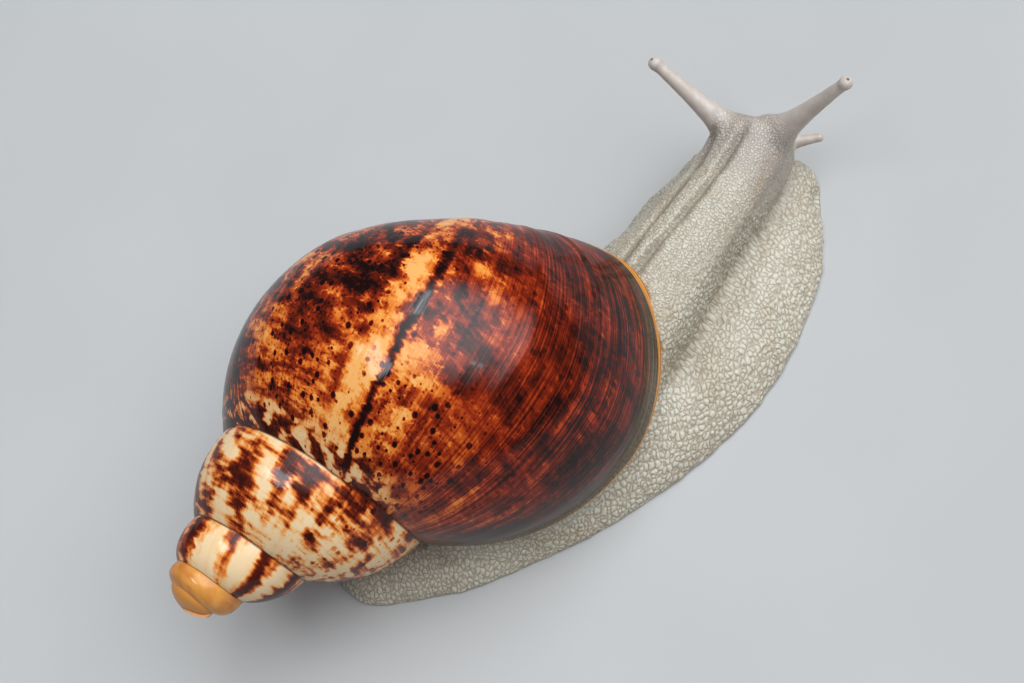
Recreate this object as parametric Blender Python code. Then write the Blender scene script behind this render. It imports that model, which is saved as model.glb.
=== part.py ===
"""Giant African land snail, life size: a glossy dextral shell carried on a crawling body.

Metres, +Z up, head towards +X, the animal's left towards +Y. The sole is flat on z = 0
and the origin lies on it, under the middle of the animal.
"""
import math

import bmesh
import bpy
import numpy as np
from mathutils import Matrix, Vector

MM = 0.001
GAP = 0.35 * MM                     # clearance between neighbouring pieces

# --- Shell: a tube that grows and turns about an axis; its size multiplies by GROWTH each turn ---
GROWTH = 1.816
TURNS = 4.2
COLUMNS_PER_TURN = 36
AXIS_POINT = (-108.1 * MM, 6.4 * MM, 50.5 * MM)     # where the axis meets the cone's tip
AXIS_LEFT = math.radians(10.8)      # the base end points to the left of straight ahead
AXIS_DIP = math.radians(11.6)       # the base end points below the horizon
LIP_ANGLE = math.radians(43.1)      # where the lip meets the suture, below the right-hand side
TUBE_AXIS_RADIUS = 26.63 * MM       # the tube's section at the lip: distance of its base from the axis
TUBE_REACH = 28.83 * MM             # how far it bulges beyond that
TUBE_SKEW = 0.167                   # the bulge is stronger towards the spire
TUBE_POWER = 1.566
TUBE_LEVEL = 114.7 * MM             # the widest level, measured from the cone's tip
TUBE_UP = 56.8 * MM                 # section height above that level, towards the spire
TUBE_DOWN = 42.5 * MM               # and below it, towards the base
SUTURE_UPPER = -1.308               # section angle where a turn meets the one before
SUTURE_LOWER = -0.105               # and where the next turn covers it
COLUMELLA_RADIUS = 5.0 * MM
COLUMELLA_DROP = 16.0 * MM
COLUMELLA_HOLD = 0.55               # the pillar's levels shrink less from turn to turn than the tube
LIP_LEAN = (-1.757, 2.502, -2.036)  # the lip slants back towards the base: cubic in radians
LEAN_EASE = 0.86                    # share of the section from which the slant levels off
LEAN_SPARE = 0.22                   # and how much further it still goes, round to the columella
LEAN_SPAN = 3.6                     # the last stretch of growth over which the lean builds up
NUB_LEVEL = 8.5 * MM                # the first whorls swell into a blunt dome
NUB_SWELL = 0.6
NUB_REACH = 12.0 * MM
NUB_POWER = 3.0
NUB_DOME = 2.3 * MM
LIP_THICK = 1.7 * MM
MOUTH_DEPTH = 1.5                   # columns that the mouth's hollow reaches back from the lip
AXIS_END = 117.0 * MM               # where the hidden inner edges are drawn together on the axis

# --- Foot: stations along the centre line, from the tail tip to the front edge ---
TAIL_TIP = (-75.0 * MM, 7.4 * MM)
FOOT_LENGTH = 168.9 * MM
HEADING_TAIL = math.radians(-10.0)
HEADING_FRONT = math.radians(21.6)
TURN_FROM = 45.0 * MM
TURN_TO = 133.0 * MM
FOOT_HALF_WIDTH = (                 # (station, half width), both in millimetres
    (0, 10.5), (10, 13.8), (27, 20.2), (52, 24.4), (82, 28.0), (107, 31.3),
    (127, 30.6), (144, 26.9), (156, 20.6), (164, 16.4), (171, 14.4))
FOOT_HEIGHT = (                     # (station, height of the foot's crown), in millimetres
    (0, 5.0), (20, 9.0), (55, 12.5), (90, 14.0), (130, 13.0), (155, 11.0), (171, 7.0))
TAIL_ROUND = 9.0 * MM
FRONT_ROUND = 6.0 * MM
EDGE_HEIGHT = 1.2 * MM
EDGE_INSET = 0.965                  # the sole is this much narrower than the margin
CROWN_POWER = 2.3
CROWN_ROUND = 0.72
LEFT_TRIM = 0.15                    # the left side is narrower between these stations
TRIM_STATIONS = (110.0 * MM, 124.0 * MM, 150.0 * MM, 160.0 * MM)

# --- Neck and head: upright sections along a path that swings to the left ---
# (x, y, heading in degrees, half width, lowest, widest level, top), lengths in millimetres
NECK_STATIONS = (
    (-8, 2, 2, 22.0, 2.0, 9.0, 24.0),
    (14, 4, 8, 20.5, 2.0, 9.5, 26.5),
    (28, 5.6, 11, 19.0, 2.0, 10.5, 27.8),
    (42, 8.4, 12, 16.0, 2.0, 11.0, 28.4),
    (56, 11.2, 14, 13.6, 2.2, 11.5, 28.4),
    (68, 13.6, 22, 12.4, 2.6, 12.5, 27.8),
    (76, 16.6, 32, 11.8, 4.0, 14.0, 28.2),
    (82.4, 20.0, 39, 10.6, 6.0, 16.0, 28.6),
    (86.0, 22.9, 39, 8.8, 8.0, 17.0, 25.5))
SNOUT_ROUND = 7.0 * MM
NECK_POWER = 2.25

# --- Feelers: (base, tip, radius at the tip, radius at the base, flare) in millimetres ---
UPPER_FEELERS = {
    "left": ((78.3, 22.1, 22.5), (72.4, 44.7, 40.9)),
    "right": ((85.2, 14.5, 22.4), (101.4, 2.5, 44.8))}
LOWER_FEELERS = {
    "left": ((82.4, 24.0, 12.5), (86.0, 31.6, 10.3)),
    "right": ((86.0, 15.6, 14.8), (96.6, 9.3, 13.2))}
UPPER_SHAPE = (1.4 * MM, 3.1 * MM, 3.4 * MM, 1.85 * MM)     # shaft tip, shaft base, flare, knob radius
LOWER_SHAPE = (1.05 * MM, 2.5 * MM, 1.9 * MM, 1.25 * MM)
FEELER_ROOT = -0.3                  # where the buried, rounded end of a feeler starts
FEELER_FADE = 0.16                  # share of the path over which the flare fades
FEELER_CUT = 0.36                   # share of the path that belongs to the head
EYE_RADIUS = 0.65 * MM
EYE_SOCKET = 0.95 * MM

# --- Where the whole body is parted ---
CUT_TAIL = 38.0 * MM
CUT_NECK = 106.0 * MM
CUT_HEAD = 146.0 * MM
CUT_FOOT_LEVEL = 7.0 * MM
TRUNK_BOTTOM = 4.0 * MM
SOLE_SPARE = 2.5 * MM               # the lofts reach this far below the floor before it trims them
BLEND_CELL = 1.0 * MM               # cell in which the lofts are blended
BLEND_PASSES = 5
BLEND_KEEP = 0.049                  # share of the blended faces that is kept
MANTLE_BELOW_LIP = 1.5 * MM
PLUG_DEPTH = 15.0 * MM              # how far the body reaches into the mouth, before the shell trims it

SHELL_COLOUR = (0.22, 0.07, 0.03, 1)
SKIN_COLOUR = (0.62, 0.58, 0.50, 1)
HEAD_COLOUR = (0.55, 0.50, 0.45, 1)
MANTLE_COLOUR = (0.66, 0.60, 0.50, 1)
EYE_COLOUR = (0.04, 0.03, 0.03, 1)


def clear_scene():
    for old in list(bpy.data.objects):
        bpy.data.objects.remove(old, do_unlink=True)


def material(name, colour, roughness):
    made = bpy.data.materials.new(name)
    made.use_nodes = True
    shader = made.node_tree.nodes["Principled BSDF"]
    shader.inputs["Base Color"].default_value = colour
    shader.inputs["Roughness"].default_value = roughness
    shader.inputs["Metallic"].default_value = 0.0
    return made


def add_object(name, verts, faces, finish=None):
    """A closed mesh object whose faces point outwards."""
    mesh = bpy.data.meshes.new(name)
    mesh.from_pydata([tuple(v) for v in verts], [], [tuple(f) for f in faces])
    work = bmesh.new()
    work.from_mesh(mesh)
    bmesh.ops.recalc_face_normals(work, faces=work.faces)
    if work.calc_volume(signed=True) < 0:
        bmesh.ops.reverse_faces(work, faces=work.faces)
    work.to_mesh(mesh)
    work.free()
    made = bpy.data.objects.new(name, mesh)
    bpy.context.scene.collection.objects.link(made)
    if finish:
        mesh.materials.append(finish)
    return made


def smoothstep(x):
    x = np.clip(x, 0.0, 1.0)
    return x * x * (3.0 - 2.0 * x)


def spline(rows, x, column=1):
    """A smooth curve through the rows' values at x; rows start with their own x."""
    rows = np.asarray(rows, float)
    knots = rows[:, 0]
    values = rows[:, column]
    slopes = np.gradient(values, knots)
    x = np.clip(np.asarray(x, float), knots[0], knots[-1])
    k = np.clip(np.searchsorted(knots, x) - 1, 0, len(knots) - 2)
    width = knots[k + 1] - knots[k]
    t = (x - knots[k]) / width
    return ((1 + 2 * t) * (1 - t) ** 2 * values[k] + t * (1 - t) ** 2 * width * slopes[k]
            + t * t * (3 - 2 * t) * values[k + 1] + t * t * (t - 1) * width * slopes[k + 1])


def power(x, exponent):
    return np.sign(x) * np.abs(x) ** exponent


# ------------------------------------------------------------------ shell

def tube_section(psi):
    """Distance from the axis and level along it of the tube's section, at the lip."""
    sine = math.sin(psi)
    bulge = TUBE_REACH * (1 - TUBE_SKEW * sine) * abs(math.cos(psi)) ** TUBE_POWER
    level = TUBE_LEVEL + (TUBE_UP if sine < 0 else TUBE_DOWN) * sine
    return TUBE_AXIS_RADIUS + bulge, level


def base_section(turn):
    """From the tube's base inwards to the columella; turn runs from 0 to a right angle."""
    radius = TUBE_AXIS_RADIUS - (TUBE_AXIS_RADIUS - COLUMELLA_RADIUS) * math.sin(turn)
    return radius, TUBE_LEVEL + TUBE_DOWN - COLUMELLA_DROP * (1 - math.cos(turn))


def lip_lean(share):
    """Angle by which the lip lies back, at a share of the way from the suture to the tube's base."""
    if share > LEAN_EASE:
        share = LEAN_EASE + LEAN_SPARE * math.tanh((share - LEAN_EASE) / LEAN_SPARE)
    return sum(c * share ** (k + 1) for k, c in enumerate(LIP_LEAN))


def shell_frame():
    """Matrix whose z is the shell's axis, x level to the right and y downwards."""
    axis = Vector((math.cos(AXIS_DIP) * math.cos(AXIS_LEFT),
                   math.cos(AXIS_DIP) * math.sin(AXIS_LEFT), -math.sin(AXIS_DIP)))
    right = Vector((axis.y, -axis.x, 0)).normalized()
    turn = Matrix((right, axis.cross(right), axis)).transposed()
    return Matrix.Translation(AXIS_POINT) @ turn.to_4x4()


def shell_point(frame, angle, radius, level, hold=0.0):
    """A point of the spiral; angle is the growth angle before (-) the lip."""
    size = GROWTH ** (angle / (2 * math.pi))
    radius = radius * size
    level = level * size ** (1 - COLUMELLA_HOLD * hold)
    radius *= 1 + NUB_SWELL * math.exp(-(level / NUB_REACH) ** 2)
    level = (level ** NUB_POWER + NUB_LEVEL ** NUB_POWER) ** (1 / NUB_POWER)
    around = LIP_ANGLE + angle
    return frame @ Vector((radius * math.cos(around), radius * math.sin(around), level))


def shell_rows():
    """The section's points, upper suture to columella: (radius, level, lean, hold)."""
    spire = [SUTURE_UPPER + (SUTURE_LOWER - SUTURE_UPPER) * k / 5 for k in range(6)]
    body = [SUTURE_LOWER + (math.pi / 2 - SUTURE_LOWER) * k / 8 for k in range(1, 9)]
    span = math.pi / 2 - SUTURE_UPPER
    rows = [(*tube_section(psi), lip_lean((psi - SUTURE_UPPER) / span), 0.0)
            for psi in spire + body]
    rows += [(*base_section(math.pi / 2 * k / 4), lip_lean(1 + k / 4), k / 4) for k in range(1, 5)]
    return rows, len(spire)


def strip(row_a, row_b):
    """Triangles between two rows of vertex numbers that may differ in count."""
    faces = []
    i = j = 0
    while i < len(row_a) - 1 or j < len(row_b) - 1:
        step_a = (i + 1) / max(len(row_a) - 1, 1) if i < len(row_a) - 1 else 9.0
        step_b = (j + 1) / max(len(row_b) - 1, 1) if j < len(row_b) - 1 else 9.0
        if step_a <= step_b:
            corner = (row_a[i], row_a[i + 1], row_b[j])
            i += 1
        else:
            corner = (row_a[i], row_b[j + 1], row_b[j])
            j += 1
        if len(set(corner)) == 3:
            faces.append(corner)
    return faces


def build_shell():
    """The whole shell as one closed mesh; also returns the lip's loop, centre and inward normal."""
    frame = shell_frame()
    rows, spire_rows = shell_rows()
    last = int(TURNS * COLUMNS_PER_TURN)
    verts = []
    grid = {}

    def put(point):
        verts.append(Vector(point))
        return len(verts) - 1

    for i in range(last + 1):
        angle = (i - last) / COLUMNS_PER_TURN * 2 * math.pi
        count = len(rows) if i >= last - COLUMNS_PER_TURN else spire_rows
        for j in range(count):
            if j == 0 and i >= COLUMNS_PER_TURN:
                grid[i, 0] = grid[i - COLUMNS_PER_TURN, spire_rows - 1]
                continue
            radius, level, lean, hold = rows[j]
            ramp = float(smoothstep(1 + angle / LEAN_SPAN))
            grid[i, j] = put(shell_point(frame, angle + lean * ramp, radius, level, hold))
    faces = []
    for i in range(last):
        count = len(rows) if i >= last - COLUMNS_PER_TURN else spire_rows
        for j in range(count - 1):
            faces.append((grid[i, j], grid[i + 1, j], grid[i + 1, j + 1], grid[i, j + 1]))
    crown = [grid[0, j] for j in range(spire_rows - 1, -1, -1)]
    crown += [grid[i, 0] for i in range(1, COLUMNS_PER_TURN + 1)]
    middle = frame @ Vector((0, 0, NUB_LEVEL + 0.4 * MM))
    outward = -frame.col[2].xyz * NUB_DOME
    ring = [verts[k] for k in crown[:-1]]
    for turn in (0.6, 1.1):             # the first whorl is closed by a low dome
        inner = [put(middle + (p - middle) * math.cos(turn) + outward * math.sin(turn)) for p in ring]
        inner.append(inner[0])
        faces += [(crown[k], crown[k + 1], inner[k + 1], inner[k]) for k in range(len(ring))]
        crown = inner
    tip = put(middle + outward)
    faces += [(crown[k], crown[k + 1], tip) for k in range(len(crown) - 1)]
    axis_end = put(frame @ Vector((0, 0, AXIS_END)))
    inner = [grid[i, len(rows) - 1] for i in range(last - COLUMNS_PER_TURN, last + 1)]
    faces += [(inner[k], inner[k + 1], axis_end) for k in range(len(inner) - 1)]

    lip = [grid[last, j] for j in range(len(rows))] + [axis_end]
    wall = [grid[last - COLUMNS_PER_TURN, j] for j in range(spire_rows - 1, len(rows))] + [axis_end]
    outer_lip = [verts[k] for k in lip[:len(rows) - 4]]
    centre = sum(outer_lip, Vector()) / len(outer_lip)
    inward = Vector()
    for a, b in zip(outer_lip, outer_lip[1:]):
        inward += (a - centre).cross(b - centre)
    inward.normalize()
    if inward.z < 0:
        inward.negate()
    wall_at = np.linspace(0, 1, len(wall))
    wall_points = np.array([verts[k] for k in wall])

    def wall_point(share):
        return Vector([np.interp(share, wall_at, wall_points[:, c]) for c in range(3)])

    def mouth_row(inset, back):
        """Points inside the tube: inset from its wall, back by so many columns from the lip."""
        row = []
        for k in range(1, len(lip) - 1):
            reach_back = back * math.sin(math.pi * k / (len(lip) - 1)) ** 0.5
            whole = int(reach_back)
            near = verts[grid[last - whole, k]]
            far = verts[grid[last - whole - 1, k]]
            start = near.lerp(far, reach_back - whole)
            across = wall_point(k / (len(lip) - 1)) - start
            span = max(across.length, 1e-6)
            row.append(put(start + across * (min(inset(span), 0.9 * span) / span)))
        return [lip[0]] + row + [lip[-1]]

    profile = ((lambda span: min(LIP_THICK, 0.3 * span), 0.0),
               (lambda span: min(LIP_THICK * 1.3, 0.35 * span), MOUTH_DEPTH * 0.5),
               (lambda span: max(LIP_THICK * 2.4, 0.15 * span), MOUTH_DEPTH * 0.95),
               (lambda span: 0.45 * span, MOUTH_DEPTH),
               (lambda span: 0.75 * span, MOUTH_DEPTH * 0.6))
    previous = lip
    for inset, depth in profile:
        row = mouth_row(inset, depth)
        faces += strip(previous, row)
        previous = row
    faces += strip(previous, wall)
    loop = [verts[k].copy() for k in lip[:-1]] + [verts[k].copy() for k in reversed(wall[1:])]
    return verts, faces, loop, centre, inward


def grown(source, amount, name):
    """A copy of a mesh object, swollen by amount, for cutting."""
    mesh = source.data.copy()
    normals = [v.normal.copy() for v in mesh.vertices]
    for vert, normal in zip(mesh.vertices, normals):
        vert.co += normal * amount
    made = bpy.data.objects.new(name, mesh)
    bpy.context.scene.collection.objects.link(made)
    return hidden(made)


def hidden(cutter):
    cutter.hide_render = True
    cutter.display_type = "WIRE"
    return cutter


# ------------------------------------------------------------------ body

def loft(rings):
    """Vertices and faces of a closed tube through equal rings, closed by a fan at each end."""
    verts = [p for ring in rings for p in ring]
    count = len(rings[0])
    faces = []
    for r in range(len(rings) - 1):
        for k in range(count):
            nxt = (k + 1) % count
            faces.append((r * count + k, r * count + nxt,
                          (r + 1) * count + nxt, (r + 1) * count + k))
    for ring, start in ((rings[0], 0), (rings[-1], (len(rings) - 1) * count)):
        verts.append(tuple(np.mean(np.asarray(ring), axis=0)))
        faces += [(start + k, start + (k + 1) % count, len(verts) - 1) for k in range(count)]
    return verts, faces


def foot_heading(station):
    share = (station - TURN_FROM) / (TURN_TO - TURN_FROM)
    return HEADING_TAIL + (HEADING_FRONT - HEADING_TAIL) * float(smoothstep(share))


def foot_centre(station):
    """Point of the centre line at a distance from the tail tip."""
    steps = 64
    x, y = TAIL_TIP
    for k in range(steps):
        heading = foot_heading(station * (k + 0.5) / steps)
        x += math.cos(heading) * station / steps
        y += math.sin(heading) * station / steps
    return x, y


def end_rounding(station):
    tail = min(station / TAIL_ROUND, 1.0)
    front = min((FOOT_LENGTH - station) / FRONT_ROUND, 1.0)
    return math.sqrt(1 - (1 - tail) ** 2) * math.sqrt(1 - (1 - front) ** 2)


def left_share(station):
    """Width of the foot's left side as a share of its right side's."""
    start, full, over, end = TRIM_STATIONS
    rise = float(smoothstep((station - start) / (full - start)))
    return 1 - LEFT_TRIM * rise * float(smoothstep((end - station) / (end - over)))


def foot_ring(station, segments=20):
    x, y = foot_centre(station)
    heading = foot_heading(station)
    rounding = end_rounding(station)
    half = float(spline(FOOT_HALF_WIDTH, station / MM)) * MM * rounding
    crown = float(spline(FOOT_HEIGHT, station / MM)) * MM
    crown = EDGE_HEIGHT + (crown - EDGE_HEIGHT) * rounding
    ring = []
    for k in range(segments + 1):
        share = math.cos(math.pi * k / segments)
        rise = (1 - abs(share) ** CROWN_POWER) ** CROWN_ROUND
        ring.append((share * half, EDGE_HEIGHT + (crown - EDGE_HEIGHT) * rise))
    for share in (-EDGE_INSET, -0.5, 0.0, 0.5, EDGE_INSET):
        ring.append((share * half, -SOLE_SPARE))
    trim = left_share(station)
    ring = [(n * trim if n > 0 else n, z) for n, z in ring]
    return [(x - math.sin(heading) * n, y + math.cos(heading) * n, z) for n, z in ring]


def foot_stations():
    ends = 5
    tail = [TAIL_ROUND * (1 - math.cos(math.pi / 2 * k / ends)) for k in range(1, ends + 1)]
    front = [FOOT_LENGTH - FRONT_ROUND * (1 - math.cos(math.pi / 2 * k / ends))
             for k in range(ends, 0, -1)]
    middle = np.linspace(tail[-1], front[0], 30)[1:-1]
    return [0.02 * MM] + tail + [float(s) for s in middle] + front + [FOOT_LENGTH - 0.02 * MM]


def neck_rings(segments=28):
    """Rings from inside the shell's mouth to the snout."""
    table = np.asarray(NECK_STATIONS, float)
    path = np.concatenate([[0], np.cumsum(np.hypot(*np.diff(table[:, :2], axis=0).T))])
    rows = np.column_stack([path, table])
    length = path[-1]
    tip = SNOUT_ROUND / MM
    along = list(np.linspace(0, length - tip, 24))
    along += [length - tip * (1 - math.sin(math.pi / 2 * k / 5)) for k in range(1, 5)]
    along.append(length - 0.02)
    rings = []
    for s in along:
        x, y, heading, half, low, level, top = (float(spline(rows, s, c)) for c in range(1, 8))
        heading = math.radians(heading)
        past = max(0.0, (s - (length - tip)) / tip)
        shrink = math.sqrt(max(1 - past ** 2, 0.0))
        ring = []
        for k in range(segments):
            angle = 2 * math.pi * k / segments
            n = half * shrink * power(math.cos(angle), 2 / NECK_POWER)
            rise = power(math.sin(angle), 2 / NECK_POWER)
            z = level + shrink * (rise * (top - level) if rise > 0 else rise * (level - low))
            ring.append(((x - math.sin(heading) * n) * MM, (y + math.cos(heading) * n) * MM, z * MM))
        rings.append(ring)
    return rings


def inside_foot(point, share):
    """The point drawn in towards the centre line, where it lies outside a share of the foot's width."""
    stations = np.linspace(0, FOOT_LENGTH, 60)
    centres = np.array([foot_centre(s) for s in stations])
    near = int(np.argmin(np.hypot(centres[:, 0] - point.x, centres[:, 1] - point.y)))
    offset = Vector((point.x - centres[near, 0], point.y - centres[near, 1], 0))
    limit = float(spline(FOOT_HALF_WIDTH, stations[near] / MM)) * MM * share
    if offset.length > limit:
        offset *= limit / offset.length
    return Vector((centres[near, 0] + offset.x, centres[near, 1] + offset.y, point.z))


def trunk_rings(loop, inward):
    """The body between the foot and the shell's mouth, ending inside the mouth."""
    loop = [Vector(p) for p in loop]
    middle = sum(loop, Vector()) / len(loop)
    mouth = [middle + (p - middle) * 0.94 - inward * 1.0 * MM for p in loop]
    sole = [inside_foot(middle + (p - middle) * 1.2, 0.93) for p in loop]
    rings = []
    for share in np.linspace(0, 1, 6):
        flare = (1 - share) ** 2.2
        ring = []
        for low, high in zip(sole, mouth):
            q = high.lerp(low, flare)
            q.z = TRUNK_BOTTOM + (high.z - TRUNK_BOTTOM) * share
            ring.append(tuple(q))
        rings.append(ring)
    for scale, lift in ((0.93, 0.4 * PLUG_DEPTH), (0.7, PLUG_DEPTH)):
        rings.append([tuple(middle + (p - middle) * scale + inward * lift) for p in loop])
    return rings


def feeler_radius(share, shape):
    """Radius along a feeler: round inside the head, flared where it leaves it, then tapering."""
    tip, base, flare = shape[:3]
    past = max(share, 0.0)
    radius = tip + (base - tip) * (1 - past) ** 1.3 + flare * math.exp(-past / FEELER_FADE)
    buried = min(share / FEELER_ROOT, 1.0) if share < 0 else 0.0
    return radius * math.sqrt(1 - 0.98 * buried ** 2)


def feeler_rings(base, tip, shape, start, stop, count, segments=12):
    base = Vector(base) * MM
    tip = Vector(tip) * MM
    along = tip - base
    length = along.length
    along.normalize()
    side = along.cross(Vector((0, 0, 1))).normalized()
    up = side.cross(along)
    knob = shape[3]
    knob_from = 1 - 2 * knob / length
    shares = [start + (stop - start) * k / count for k in range(count + 1)]
    if stop >= 1:
        shares = [start + (knob_from - start) * k / count for k in range(count + 1)]
        shares += [1 - knob / length * (1 + math.cos(math.pi * k / 6)) for k in range(1, 6)]
        shares.append(1 - 0.02 * knob / length)
    rings = []
    for share in shares:
        radius = feeler_radius(share, shape)
        if stop >= 1 and share > knob_from:
            off = (share - 1) * length + knob
            ball = math.sqrt(max(knob ** 2 - off ** 2, 0.0))
            radius = max(radius, ball) if off < 0 else ball
        centre = base + along * (share * length)
        rings.append([tuple(centre + (side * math.cos(a) + up * math.sin(a)) * radius)
                      for a in (2 * math.pi * k / segments for k in range(segments))])
    return rings


# ------------------------------------------------------------------ joining and parting

def merged(name, lofts):
    """One closed, softly blended body out of overlapping lofts, flat on the floor."""
    verts = []
    faces = []
    for points, corners in lofts:
        faces += [tuple(k + len(verts) for k in face) for face in corners]
        verts += list(points)
    body = add_object(name, verts, faces)
    remesh = body.modifiers.new("blend", "REMESH")
    remesh.mode = "VOXEL"
    remesh.voxel_size = BLEND_CELL
    soften = body.modifiers.new("soften", "SMOOTH")
    soften.factor = 0.5
    soften.iterations = BLEND_PASSES
    fewer = body.modifiers.new("fewer", "DECIMATE")
    fewer.ratio = BLEND_KEEP
    body = frozen(body, name)
    work = bmesh.new()
    work.from_mesh(body.data)
    cut_off(work, Vector((0, 0, 0)), Vector((0, 0, 1)))
    bmesh.ops.recalc_face_normals(work, faces=work.faces)
    work.to_mesh(body.data)
    work.free()
    return body


def boolean(target, cutter, operation, crossing=False):
    """An exact Boolean; crossing allows for a cutter whose skin meets itself in a narrow corner."""
    step = target.modifiers.new(operation.lower(), "BOOLEAN")
    step.object = cutter
    step.operation = operation
    step.solver = "EXACT"
    step.use_self = crossing


def frozen(source, name, finish=None):
    """A new object with the source's evaluated mesh; the source is removed."""
    bpy.context.view_layer.update()
    mesh = bpy.data.meshes.new_from_object(source.evaluated_get(bpy.context.evaluated_depsgraph_get()))
    bpy.data.objects.remove(source, do_unlink=True)
    made = bpy.data.objects.new(name, mesh)
    bpy.context.scene.collection.objects.link(made)
    mesh.materials.clear()
    if finish:
        mesh.materials.append(finish)
    return made


def keep_biggest(work):
    """Drops the crumbs that a cut leaves beside the main piece."""
    left = set(work.verts)
    groups = []
    while left:
        stack = [left.pop()]
        group = set(stack)
        while stack:
            for edge in stack.pop().link_edges:
                for vert in edge.verts:
                    if vert in left:
                        left.remove(vert)
                        group.add(vert)
                        stack.append(vert)
        groups.append(group)
    groups.sort(key=len, reverse=True)
    for group in groups[1:]:
        bmesh.ops.delete(work, geom=list(group), context="VERTS")


def cut_off(work, point, normal):
    """Takes away what lies behind a plane and closes the cut with a flat face."""
    geometry = work.verts[:] + work.edges[:] + work.faces[:]
    bmesh.ops.bisect_plane(work, geom=geometry, dist=0.001 * MM, plane_co=point,
                           plane_no=normal, clear_inner=True)
    rim = [edge for edge in work.edges if edge.is_boundary]
    bmesh.ops.triangle_fill(work, use_beauty=True, use_dissolve=False, edges=rim)


def part(whole, name, finish, planes):
    """The piece of the whole on the inner side of every plane (point, inward normal)."""
    work = bmesh.new()
    work.from_mesh(whole.data)
    for point, normal in planes:
        normal = Vector(normal).normalized()
        cut_off(work, Vector(point) + normal * GAP / 2, normal)
    keep_biggest(work)
    bmesh.ops.recalc_face_normals(work, faces=work.faces)
    mesh = bpy.data.meshes.new(name)
    work.to_mesh(mesh)
    work.free()
    mesh.materials.append(finish)
    bpy.context.scene.collection.objects.link(bpy.data.objects.new(name, mesh))


def station_plane(station, forward):
    """The upright plane across the body at a station, with its normal ahead or behind."""
    x, y = foot_centre(station)
    heading = foot_heading(station)
    way = 1 if forward else -1
    return (x, y, 0), (way * math.cos(heading), way * math.sin(heading), 0)


def feeler_plane(base, tip):
    """The plane that parts a feeler from the head, facing the head."""
    base = Vector(base) * MM
    tip = Vector(tip) * MM
    return base.lerp(tip, FEELER_CUT), base - tip


def smooth(target, degrees=40):
    target.data.shade_smooth()
    target.data.set_sharp_from_angle(angle=math.radians(degrees))


def build_body(shell, loop, centre, inward):
    skin = material("skin", SKIN_COLOUR, 0.55)
    grey = material("head_skin", HEAD_COLOUR, 0.5)
    collar = material("mantle", MANTLE_COLOUR, 0.45)
    lofts = [loft([foot_ring(s) for s in foot_stations()]), loft(neck_rings()),
             loft(trunk_rings(loop, inward))]
    for base, tip in UPPER_FEELERS.values():
        lofts.append(loft(feeler_rings(base, tip, UPPER_SHAPE, FEELER_ROOT, FEELER_CUT + 0.1, 14)))
    for base, tip in LOWER_FEELERS.values():
        lofts.append(loft(feeler_rings(base, tip, LOWER_SHAPE, FEELER_ROOT, FEELER_CUT, 8, 10)))
    whole = merged("whole", lofts)
    cutter = grown(shell, GAP, "shell_clearance")
    boolean(whole, cutter, "DIFFERENCE", crossing=True)
    whole = hidden(frozen(whole, "whole_body"))
    bpy.data.objects.remove(cutter, do_unlink=True)

    lip_plane = centre - inward * MANTLE_BELOW_LIP
    above_foot = ((0, 0, CUT_FOOT_LEVEL), (0, 0, 1))
    in_foot = ((0, 0, CUT_FOOT_LEVEL), (0, 0, -1))
    tail_front = station_plane(CUT_TAIL, True)
    tail_back = station_plane(CUT_TAIL, False)
    neck_front = station_plane(CUT_NECK, True)
    neck_back = station_plane(CUT_NECK, False)
    head_front = station_plane(CUT_HEAD, True)
    head_back = station_plane(CUT_HEAD, False)
    part(whole, "mantle", collar, [neck_back, (lip_plane, inward)])
    part(whole, "tail", skin, [tail_back, (lip_plane, -inward)])
    part(whole, "foot_middle", skin, [tail_front, neck_back, in_foot])
    part(whole, "foot_front", skin, [neck_front, in_foot])
    part(whole, "trunk", skin, [tail_front, neck_back, above_foot, (lip_plane, -inward)])
    part(whole, "neck", skin, [neck_front, head_back, above_foot])
    part(whole, "head", grey, [head_front, above_foot] + [feeler_plane(*f) for f in UPPER_FEELERS.values()])
    bpy.data.objects.remove(whole, do_unlink=True)


def build_feelers():
    grey = material("feeler_skin", HEAD_COLOUR, 0.4)
    dark = material("eye", EYE_COLOUR, 0.15)
    for side, (base, tip) in UPPER_FEELERS.items():
        start = FEELER_CUT + GAP / ((Vector(tip) - Vector(base)).length * MM)
        rings = feeler_rings(base, tip, UPPER_SHAPE, start, 1, 6)
        feeler = add_object("upper_feeler_" + side, *loft(rings), grey)
        along = (Vector(tip) - Vector(base)).normalized()
        knob = Vector(tip) * MM - along * UPPER_SHAPE[3]
        look = (along + Vector((0, 0, 0.9))).normalized()
        place = knob + look * (UPPER_SHAPE[3] - EYE_RADIUS * 0.45)
        socket = hidden(ball("socket_" + side, EYE_SOCKET, place))
        boolean(feeler, socket, "DIFFERENCE")
        made = frozen(feeler, "upper_feeler_" + side, grey)
        made.name = "upper_feeler_" + side
        bpy.data.objects.remove(socket, do_unlink=True)
        eye = ball("eye_" + side, EYE_RADIUS, place)
        eye.data.materials.append(dark)
    for side, (base, tip) in LOWER_FEELERS.items():
        start = FEELER_CUT + GAP / ((Vector(tip) - Vector(base)).length * MM)
        rings = feeler_rings(base, tip, LOWER_SHAPE, start, 1, 4, 10)
        add_object("lower_feeler_" + side, *loft(rings), grey)


def ball(name, radius, place):
    mesh = bpy.data.meshes.new(name)
    work = bmesh.new()
    bmesh.ops.create_icosphere(work, subdivisions=2, radius=radius)
    work.to_mesh(mesh)
    work.free()
    made = bpy.data.objects.new(name, mesh)
    made.location = place
    bpy.context.scene.collection.objects.link(made)
    return made


def main():
    clear_scene()
    verts, faces, loop, centre, inward = build_shell()
    shell = add_object("shell", verts, faces, material("shell", SHELL_COLOUR, 0.12))
    build_body(shell, loop, centre, inward)
    build_feelers()
    for made in bpy.data.objects:
        if not made.hide_render:
            smooth(made)


main()
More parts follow.
